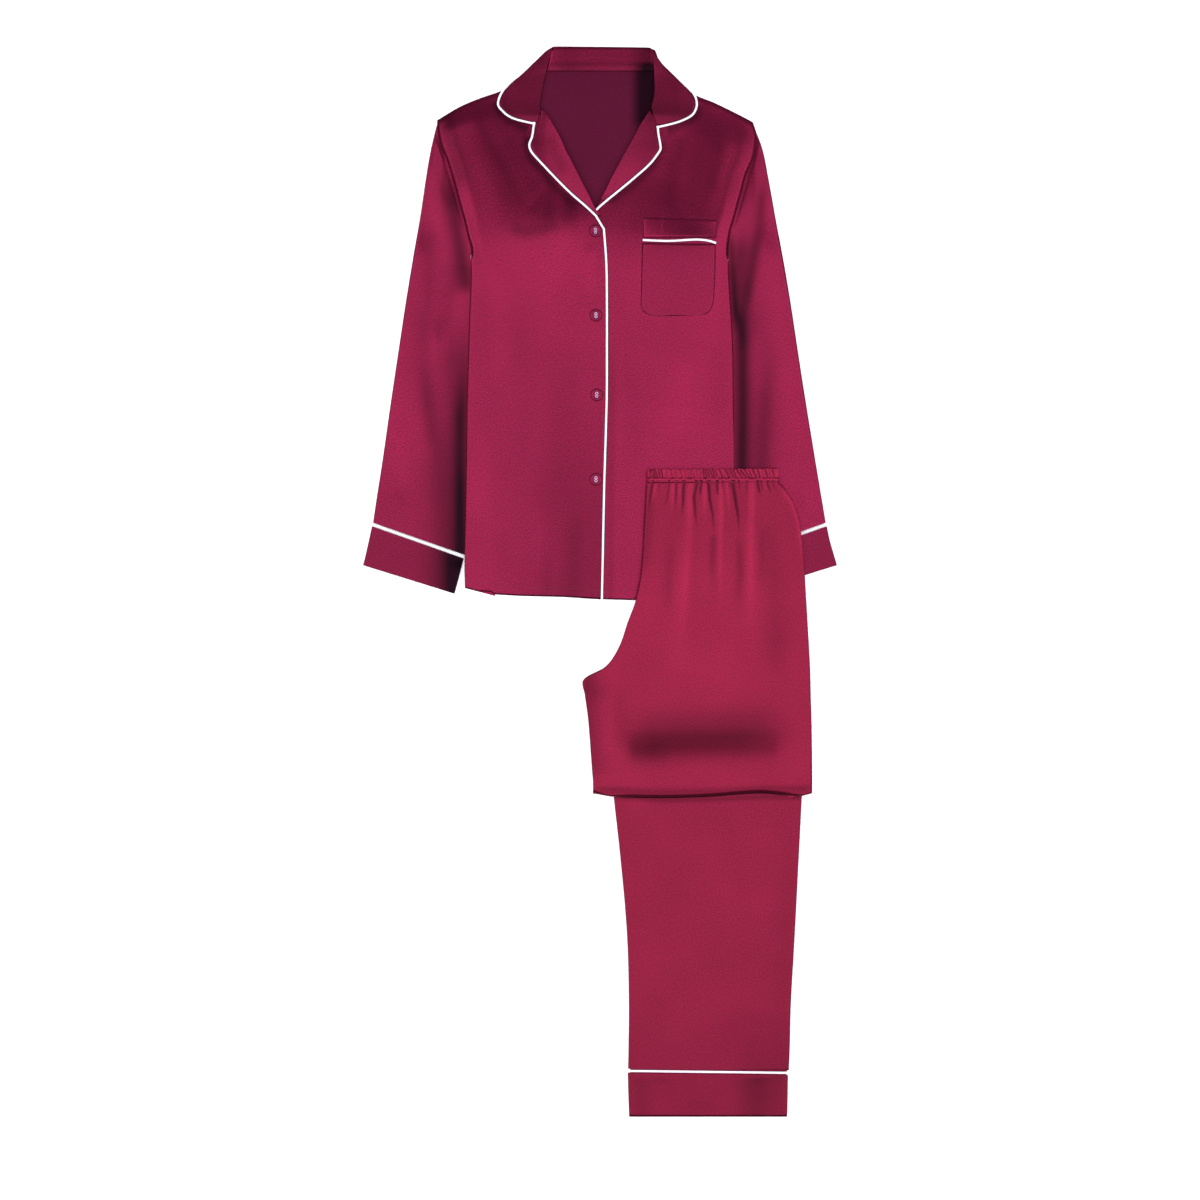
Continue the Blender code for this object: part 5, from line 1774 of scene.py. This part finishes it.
    def fronts(self) -> None:
        """The two fronts, with the hem's stitches."""
        under = [Span(*edge, row.right_x, row.right_y) for row, edge in zip(BODY, UNDER_EDGE)]
        over = [Span(row.left_x, row.left_y, *edge) for row, edge in zip(BODY, OVER_EDGE)]
        below = "shirt_back"
        for name, spans, outer, height, grain in (
            ("front_under", under, Edge.RIGHT, self.lay.under, (700.0, 0.0)),
            ("front_over", over, Edge.LEFT, self.lay.over, (0.0, 0.0)),
        ):
            below = cloth_sheet(
                f"{name}_cloth", self.front(spans, outer, height), self.finishes.satin, name,
                self.lay.front_painted_shade, grain=grain,
            )
        for start, end, height in ((-164.0, 0.0, self.lay.over), (4.0, 52.0, self.lay.under)):
            x = np.linspace(start, end, 60)
            self.stitches.sew(np.column_stack([x, hem_y(x) + self.hem_width]), height, -0.22)

    def flap(self, flap: Flap) -> None:
        """Lapel or collar leaf on a front, folded at its inner edge.

        Args:
            flap: which one.
        """
        across, down, x, y = plan(flap.spans, *self.flap_spacing)
        fold, front = (Edge.RIGHT, "over") if flap.on_over else (Edge.LEFT, "under")
        share = across if flap.on_over else across[::-1]
        down = down[:, None]
        full = flap.puff * share ** 1.3 * ramp(0.0, 0.3, down) * ramp(1.0, 0.8, down)
        height = self.lay.over if flap.on_over else self.lay.under
        z = height(x, y) + self.lay.on_panel + self.lay.cloth + full
        points = drop_edges(raised(x, y, z), (fold.across, Edge.TOP, Edge.BOTTOM), 0.5, 1.8)
        is_lapel = flap.node.startswith("lapel")
        cloth_sheet(
            flap.name, fold_back(points, fold, flap.radius, self.flap_tuck),
            self.finishes.satin, flap.node,
            self.lay.lapel_painted_shade if is_lapel else self.lay.leaf_painted_shade,
            wall=0.5, grain=flap.grain,
        )

    def collar(self) -> None:
        """Lapels, collar leaves and the stand between them."""
        for flap in FLAPS:
            self.flap(flap)
        across = spread(span_width(COLLAR_BACK), 3.0)
        down = spread(span_length(COLLAR_BACK), 1.6)
        spans = [COLLAR_BACK[0], *widened(COLLAR_BACK[1:], self.stand_lean)]
        x, y = plan_grid(spans, across, down)
        ends = ramp(0.035, 0.0, across) + ramp(0.965, 1.0, across)
        z = 2.4 + 2.6 * (1.0 - 0.85 * ends) * roll(662.0 - y, 5.0) - 0.3 * ramp(638.0, 630.0, y)
        cloth_sheet(
            "collar_back_cloth", fold_back(raised(x, y, z), Edge.TOP, 1.1, 18.0),
            self.finishes.satin, "collar_back", self.lay.stand_painted_shade,
            grain=(90.0, 820.0),
        )

    def on_pocket(self, x: Array, y: Array) -> Array:
        """Face of the pocket's cloth on the front, before it fills out."""
        return self.lay.under(x, y) + self.pocket_lift

    def pocket(self) -> None:
        """Breast pocket, its band, the piping between them and their stitches."""
        for name, spans, tilt in (
            ("pocket", POCKET, (328.0, 417.0)), ("pocket_band", POCKET_BAND, (480.0, 390.0)),
        ):
            across, down, x, y = plan(spans, self.pocket_spacing)
            bow = np.sin(np.pi * across)
            full = 0.25 * bow ** 0.6 * np.sin(np.pi * down)[:, None] ** 0.6
            full = full + 1.5 * bow ** 0.5 * ramp(*tilt, y)
            points = drop_edges(raised(x, y, self.on_pocket(x, y) + full), tuple(Edge), 0.9, 1.8)
            cloth_sheet(
                f"{name}_cloth", points, self.finishes.satin, name, self.lay.pocket_painted_shade,
                wall=0.5, grain=(35.0, 620.0),
            )
        line = on_height(smooth_line(POCKET_PIPING, 2.5), self.on_pocket, 0.7)
        cord_trim("piping_pocket_cord", line, self.piping_radius, self.finishes.piping,
                  "piping_pocket")
        left, right, foot, band_left, band_right = (
            smooth_line(edge, 2.0) for edge in (
                [s[:2] for s in POCKET[:-1]], [s[2:] for s in POCKET[:-1]], POCKET_FOOT,
                [s[:2] for s in POCKET_BAND], [s[2:] for s in POCKET_BAND],
            )
        )
        for row in (
            offset_line(left, 1.8), offset_line(right, -1.8), offset_line(foot, 1.8),
            band_left + [0.4, 0.0], offset_line(band_left, 7.5), offset_line(band_right, -4.2),
        ):
            self.stitches.sew(row, self.on_pocket, -0.1)

    def piping(self) -> None:
        """Piping of the collar, the lapels and the lapping front's edge."""
        side, lift = self.piping_radius + 0.4, self.lay.on_panel + self.piping_radius
        over, under = self.lay.over, self.lay.under
        lapel = [NOTCH_RIGHT, *(s[2:] for s in LAPEL_UNDER[3:]), *LAPEL_FOOT]
        for name, edge, distance, front in (
            ("collar_left", [*(s[:2] for s in COLLAR_LEFT[3:-1]), NOTCH_LEFT], -side, over),
            ("collar_right", [*(s[2:] for s in COLLAR_RIGHT[3:-1]), NOTCH_RIGHT], side, under),
            ("lapel_under", lapel, side, under),
        ):
            line = offset_line(smooth_line(edge, 2.2), distance)
            cord_trim(f"piping_{name}_cord", on_height(line, front, lift), self.piping_radius,
                      self.finishes.piping, f"piping_{name}")
        lapel = smooth_line([NOTCH_LEFT, *(s[:2] for s in LAPEL_OVER[3:])], 2.2)
        lapel = on_height(offset_line(lapel, -side), over, lift)
        edge = offset_line(smooth_line(OVER_EDGE[ARMHOLE_ROWS:], 3.0), side)
        edge = on_height(edge, over, 0.9)
        edge[:, 2] += (lift - 0.9) * ramp(420.0, 432.0, edge[:, 1])
        cord_trim("piping_front_cord", np.concatenate([lapel, edge]), self.piping_radius,
                  self.finishes.piping, "piping_front")
        # A dark cord beside the front's piping, as a painted shadow of its edge.
        shadow_cord = edge[6:] + np.array([self.piping_radius + 0.1, 0.0, -0.6])
        cord_trim("front_edge_painted_shadow", shadow_cord, self.shadow_cord_radius, self.finishes.dark_thread)

    def tube(self, spans: Sequence[Span], spacing: float, from_seam: bool) -> Array:
        """Points round a flattened sleeve or cuff.

        Args:
            spans: its sections.
            spacing: spacing of the points.
            from_seam: whether its top edge follows the armhole seam.

        Returns:
            The grid, the first column repeated at the end.
        """
        across, down, x, y = plan(spans, spacing, close_top=not from_seam)
        if from_seam:
            left, right = edge_x(BODY, y[0])
            seam = left + 1.2 if spans[0].left_x < 0.0 else right - 1.2
            run = down[:, None] * span_length(spans)
            x = x + (seam - x[0]) * np.exp(-(run / self.seam_reach) ** 1.2)
        outer = np.hypot(x - x[:, [0]], y - y[:, [0]])
        z = self.lay.sleeve(x, y, outer) + self.groove(x, y) * ramp(*SEAM_END, y)
        if from_seam:
            z[0] -= 0.35
        return close_tube(raised(x, y, z), 0.25)

    def sleeves(self) -> None:
        """Sleeves, cuffs and the piping in each cuff seam."""
        for side, turn, sleeve, cuff in (
            ("left", 1, SLEEVE_LEFT, CUFF_LEFT), ("right", -1, SLEEVE_RIGHT, CUFF_RIGHT),
        ):
            for name, spans, spacing, grain, wall, tone in (
                ("sleeve", sleeve, 3.0, (1200.0 * turn, 130.0), 0.4, self.lay.sleeve_painted_shade),
                ("cuff", cuff, 2.6, (900.0 * turn, 770.0), 0.8, self.lay.cuff_painted_shade),
            ):
                points = self.tube(spans, spacing, name == "sleeve")[:, ::turn]
                cloth_sheet(
                    f"{name}_{side}_cloth", points, self.finishes.satin, f"{name}_{side}", tone,
                    closed=True, grain=grain, wall=wall,
                )
            seam = mean_span(sleeve[-1], cuff[0])
            line = seam_line(seam, 48, lambda x, y, seam=seam: self.lay.sleeve(
                x, y, np.hypot(x - seam.left_x, y - seam.left_y)), -0.3)
            cord_trim(f"piping_cuff_{side}_cord", line, self.piping_radius,
                      self.finishes.piping, f"piping_cuff_{side}")

    def buttons(self) -> None:
        """Four two-hole buttons with their thread, and the second one's buttonhole."""
        for number, (x, y) in enumerate(BUTTONS, start=1):
            place = (x, y, float(self.lay.over(np.array(x), np.array(y))) + self.button_lift)
            button = self._button(f"button_{number}_resin", place)
            dress(button, self.finishes.resin, Slot.BUTTON, f"button_{number}")
            thread = self._thread(f"button_{number}_thread", place)
            dress(thread, self.finishes.lilac_thread, Slot.PIPING)
        hole = Stitcher(pitch=0.7, length=0.6, radius=0.35)
        hole.sew(np.array(BUTTONS[1]) + [(0.0, 9.0), (0.0, 19.0)], self.lay.over, 0.1)
        hole.build("buttonhole_stitches", self.finishes.dark_thread)

    def _holes(self, place: tuple[float, float, float], rise: float) -> list[Vector]:
        """Places over a button's two holes, in metres."""
        x, y, z = place
        return [Vector((x, y + way * self.hole_offset, z + rise)) * MM for way in (-1.0, 1.0)]

    def _button(self, name: str, place: tuple[float, float, float]) -> Piece:
        """Turned button: a rim round a dished middle, with two holes.

        Args:
            name: the button's name.
            place: the middle of its underside.

        Returns:
            The button.
        """
        height = self.button_height - self.button_rings[0][1]
        middle = Vector(place) + Vector((0.0, 0.0, height / 2.0))
        button = primitive(
            name, bpy.ops.mesh.primitive_cylinder_add, vertices=48,
            radius=self.button_radius * MM, depth=height * MM, location=middle * MM,
        )
        settle(button)
        for part in (button.data.vertices, button.data.edges):
            part.foreach_set("select", [False] * len(part))
        for polygon in button.data.polygons:
            polygon.select = polygon.normal.z > 0.9
        bpy.ops.object.mode_set(mode="EDIT")
        bpy.ops.mesh.select_mode(type="FACE")
        for width, rise in self.button_rings:
            bpy.ops.mesh.inset(thickness=width * MM, depth=rise * MM)
        bpy.ops.object.mode_set(mode="OBJECT")
        apply_modifier(button, "BEVEL", width=self.button_bevel * MM, segments=2,
                       limit_method="ANGLE", angle_limit=math.radians(30.0))
        for hole in self._holes(place, 0.0):
            drill = primitive(
                "drill", bpy.ops.mesh.primitive_cylinder_add, vertices=20,
                radius=self.hole_radius * MM, depth=self.drill_depth * MM, location=hole,
            )
            apply_modifier(button, "BOOLEAN", object=drill, operation="DIFFERENCE")
            bpy.data.objects.remove(drill, do_unlink=True)
        select_only(button)
        bpy.ops.object.shade_smooth_by_angle(angle=math.radians(40.0))
        return button

    def _thread(self, name: str, place: tuple[float, float, float]) -> Piece:
        """A loop of thread round each of a button's holes.

        Args:
            name: the thread's name.
            place: the middle of the button's underside.

        Returns:
            The thread.
        """
        loops = []
        for hole in self._holes(place, self.button_height - self.thread_drop):
            loops.append(primitive(
                name, bpy.ops.mesh.primitive_torus_add, major_segments=20, minor_segments=8,
                major_radius=self.loop_radius * MM, minor_radius=self.thread_radius * MM,
                location=hole,
            ))
            settle(loops[-1])
        thread = join(name, loops)
        bpy.ops.object.shade_smooth()
        return thread

    def build(self) -> None:
        """Build the whole shirt."""
        self.back()
        self.sleeves()
        self.fronts()
        self.collar()
        self.pocket()
        self.piping()
        self.buttons()
        self.stitches.build("shirt_stitches", self.finishes.wine_thread)


# --- Trousers ---

@dataclass
class Trousers:
    """The trousers: waistband, upper leg with its fold, lower leg, hem cuff and inner layers."""

    finishes: Finishes
    lay: TrouserLay = field(default_factory=TrouserLay)
    stitches: Stitcher = field(default_factory=Stitcher)
    wall: float = 0.4
    side_radius: float = 1.2
    side_tuck: float = 30.0
    fold_tuck: float = 34.0
    fold_bulge: float = 9.0
    core_inset: float = 2.4
    core_layers: int = 2
    core_gap: float = 0.1
    core_spacing: float = 6.0
    upper_core_drop: float = 3.4
    lower_core_drop: float = 2.6
    leg_width: float = 268.0
    leg_spacing: tuple[float, float] = (1.35, 2.6)
    heading_size: tuple[float, float] = (160.0, 17.0)
    heading_spacing: float = 0.7
    heading_thread: tuple[float, float] = (59.5, 219.0)
    piping_radius: float = 1.4

    def at_waist(self, x: Array, y: Array) -> Array:
        """Face of the upper leg at the waist seam, the same all up the waistband."""
        return self.lay.base(x, np.full_like(y, WAIST_Y))

    def waistband(self) -> None:
        """The gathered heading between its two stitch lines and its upper edge."""
        width, height = self.heading_size
        across = spread(width, self.heading_spacing)
        x, y = plan_grid(WAISTBAND, across, spread(height, self.heading_spacing, False, False))
        rows = sum(bell(y - at, 1.1) for at in WAIST_ROWS)
        ruche = 0.30 * np.sin(x * 1.9 + 0.9 * np.sin(x * 0.37)) * ramp(129.0, 127.5, y)
        below = relief(self.lay.gathers, x, np.full_like(y, 120.0)) * ramp(129.0, WAIST_Y, y)
        y = y + 0.5 * np.sin(x * 0.55 + 1.0) * ramp(134.0, 138.0, y)
        z = self.at_waist(x, y) + 1.0 - 0.5 * rows + 0.7 * below + ruche
        z = z - 0.8 * self.lay.heading(x, y)
        cloth_sheet(
            "waistband_cloth", fold_back(raised(x, y, z), Edge.TOP, 0.8, 9.0),
            self.finishes.warm_satin, "waistband", self.lay.waist_painted_shade,
            wall=self.wall, grain=(510.0, 1500.0),
        )
        for row_y in WAIST_ROWS:
            line = np.column_stack([np.linspace(*self.heading_thread, 90), np.full(90, row_y)])
            self.stitches.sew(line, self.at_waist, 0.25)

    def fold_sides(self, points: Array) -> Array:
        """Fold a leg's sides under, no lower than the surface.

        Args:
            points: the leg's grid.

        Returns:
            The grid with its folds.
        """
        for edge in (Edge.LEFT, Edge.RIGHT):
            height = from_edge(points, edge)[0][:, 2]
            radius = np.clip((height - 0.4) / 2.0, 0.02, self.side_radius)
            points = fold_back(points, edge, radius, self.side_tuck)
        return points

    def upper_leg(self) -> None:
        """Outer layer of the upper leg, folded at its sides and at the bottom."""
        across = spread(self.leg_width, self.leg_spacing[0])
        down = spread(span_length(LEG_UPPER), self.leg_spacing[1], False, False)
        x, y = plan_grid(LEG_UPPER, across, down)
        end_y = curve(FOLD_EDGE, x[-1])
        probe = 6.0 + end_y
        top, low = self.lay.upper(x[-1], probe), self.lay.underside(x[-1], probe) + 0.5
        radius = (top - low) / 2.0
        steps = np.linspace(0.25, 1.0, 4)[:, None]
        x = np.concatenate([x, x[[-1] * len(steps)]])
        y = np.concatenate([y, y[-1] + (end_y + radius - y[-1]) * steps])
        z = self.lay.upper(x, y)
        z[-1] = top
        points = fold_back(
            raised(x, y, z), Edge.BOTTOM, radius, self.fold_tuck, arc=9, bulge=self.fold_bulge,
        )
        cloth_sheet(
            "leg_upper_cloth", self.fold_sides(points), self.finishes.warm_satin, "leg_upper",
            self.lay.upper_painted_shade,
            wall=self.wall, grain=(310.0, 1900.0),
        )

    def core(
        self, node: str, spans: Sequence[Span], height: Height, low: Height, drop: float,
    ) -> None:
        """Hidden layers: flattened tubes on each other, their folds showing at the edges.

        Args:
            node: the frame's node that they stand for.
            spans: their sections.
            height: the face over them.
            low: the height that they lie on.
            drop: how far under the face they stay.
        """
        _, _, x, y = plan(widened(spans, -self.core_inset), self.core_spacing)
        top, bottom = height(x, y) - drop, low(x, y) + self.core_gap
        rings = []
        for k in range(self.core_layers):
            lower, upper = (
                bottom + (top - bottom) * at / self.core_layers + gap
                for at, gap in ((k, self.core_gap), (k + 1, -self.core_gap))
            )
            rings.append(close_tube(raised(x, y, upper), lower))
        piece = join(f"{node}_cloth", [
            cloth_shell(f"{node}_{k}", ring, self.wall, True, (200.0 * k, 2500.0))
            for k, ring in enumerate(rings)
        ])
        dress(piece, self.finishes.warm_satin, Slot.SATIN, node)
        state_cut(rings)

    def lower_leg(self) -> None:
        """Outer layer of the lower leg, its hem cuff and the piping between them."""
        for name, spans, spacing in (("leg_lower", LEG_LOWER, 2.8), ("hem_cuff", HEM_CUFF, 2.4)):
            _, _, x, y = plan(spans, spacing)
            points = raised(x, y, self.lay.lower(x, y) - 0.6 * bell(y - HEM_SEAM_Y, 2.4))
            if spans is HEM_CUFF:
                points = drop_edges(points, (Edge.BOTTOM,), 1.2, 2.6)
            cloth_sheet(
                f"{name}_cloth", self.fold_sides(points), self.finishes.warm_satin, name,
                self.lay.lower_painted_shade, wall=self.wall,
                grain=(610.0, 2600.0),
            )
        line = seam_line(mean_span(LEG_LOWER[-1], HEM_CUFF[0]), 80, self.lay.lower, 0.5)
        cord_trim("piping_hem_cord", line, self.piping_radius, self.finishes.piping, "piping_hem")

    def build(self) -> None:
        """Build the whole pair."""
        self.core(
            "trouser_core_upper", (*CORE_TOP, *LEG_UPPER[1:-1]),
            lambda x, y: self.lay.base(x, np.minimum(y, WAIST_Y)), self.lay.underside,
            self.upper_core_drop,
        )
        self.core(
            "trouser_core_lower", LEG_LOWER + HEM_CUFF[1:], self.lay.lower,
            lambda x, y: np.zeros_like(x), self.lower_core_drop,
        )
        self.lower_leg()
        self.upper_leg()
        self.waistband()
        self.stitches.build("trouser_stitches", self.finishes.wine_thread)


# --- Studio ---

@dataclass
class Softbox:
    """A rectangular light that shines straight down, its sizes in metres."""

    name: str
    place: tuple[float, float, float]
    size: tuple[float, float]
    power: float

    def build(self) -> None:
        """Add the light."""
        data = bpy.data.lights.new(self.name, "AREA")
        data.shape = "RECTANGLE"
        data.size, data.size_y = self.size
        data.energy = self.power
        light = placed(self.name, data)
        light.location = self.place
        light.visible_camera = False


@dataclass
class Studio:
    """Pale floor, soft light and a camera straight above, in metres."""

    view_width: float = 1.4808
    camera_height: float = 5.0
    face_height: float = 0.008
    camera_y: float = -0.0228
    sensor: float = 36.0
    floor_size: float = 9.0
    floor_z: float = -0.0003
    floor_color: Color = (0.94, 0.94, 0.94)
    floor_glow: float = 0.4
    world_color: Color = (0.78, 0.84, 1.0)
    world_strength: float = 0.62
    boxes: tuple[Softbox, ...] = (
        Softbox("overhead", (0.0, -0.425, 3.0), (8.0, 2.55), 160.0),
        Softbox("left_wing", (-1.95, 1.30, 2.99), (2.70, 0.90), 17.5),
        Softbox("right_wing", (1.95, 1.30, 2.99), (2.70, 0.90), 17.5),
    )

    def floor(self) -> None:
        """Add the floor."""
        place = (0.0, 0.0, self.floor_z)
        plane = bpy.ops.mesh.primitive_plane_add
        floor = primitive("floor", plane, size=self.floor_size, location=place)
        shader = Shader("floor_paint")
        shader.set(
            Base_Color=self.floor_color, Roughness=0.9, Emission_Color=self.floor_color,
            Emission_Strength=self.floor_glow,
        )
        floor.data.materials.append(shader.material)

    def camera(self) -> None:
        """Add the camera straight above, wide enough for the whole set."""
        data = bpy.data.cameras.new("camera")
        data.sensor_width = self.sensor
        data.lens = self.sensor * (self.camera_height - self.face_height) / self.view_width
        camera = placed("camera", data)
        camera.location = (0.0, self.camera_y, self.camera_height)
        bpy.context.scene.camera = camera

    def world(self) -> None:
        """Soft light from all round, a little blue."""
        world = bpy.data.worlds.new("room")
        world.use_nodes = True
        background = world.node_tree.nodes["Background"]
        background.inputs["Color"].default_value = (*self.world_color, 1.0)
        background.inputs["Strength"].default_value = self.world_strength
        bpy.context.scene.world = world

    def build(self) -> None:
        """Set up the whole studio."""
        bpy.context.scene.view_settings.view_transform = "Standard"
        self.floor()
        self.world()
        for box in self.boxes:
            box.build()
        self.camera()


def main() -> None:
    """Build the set and its studio."""
    logging.basicConfig(level=logging.INFO, format="%(message)s")
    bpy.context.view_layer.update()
    Studio().build()
    finishes = Finishes()
    Shirt(finishes).build()
    Trousers(finishes).build()


if __name__ == "__main__":
    main()
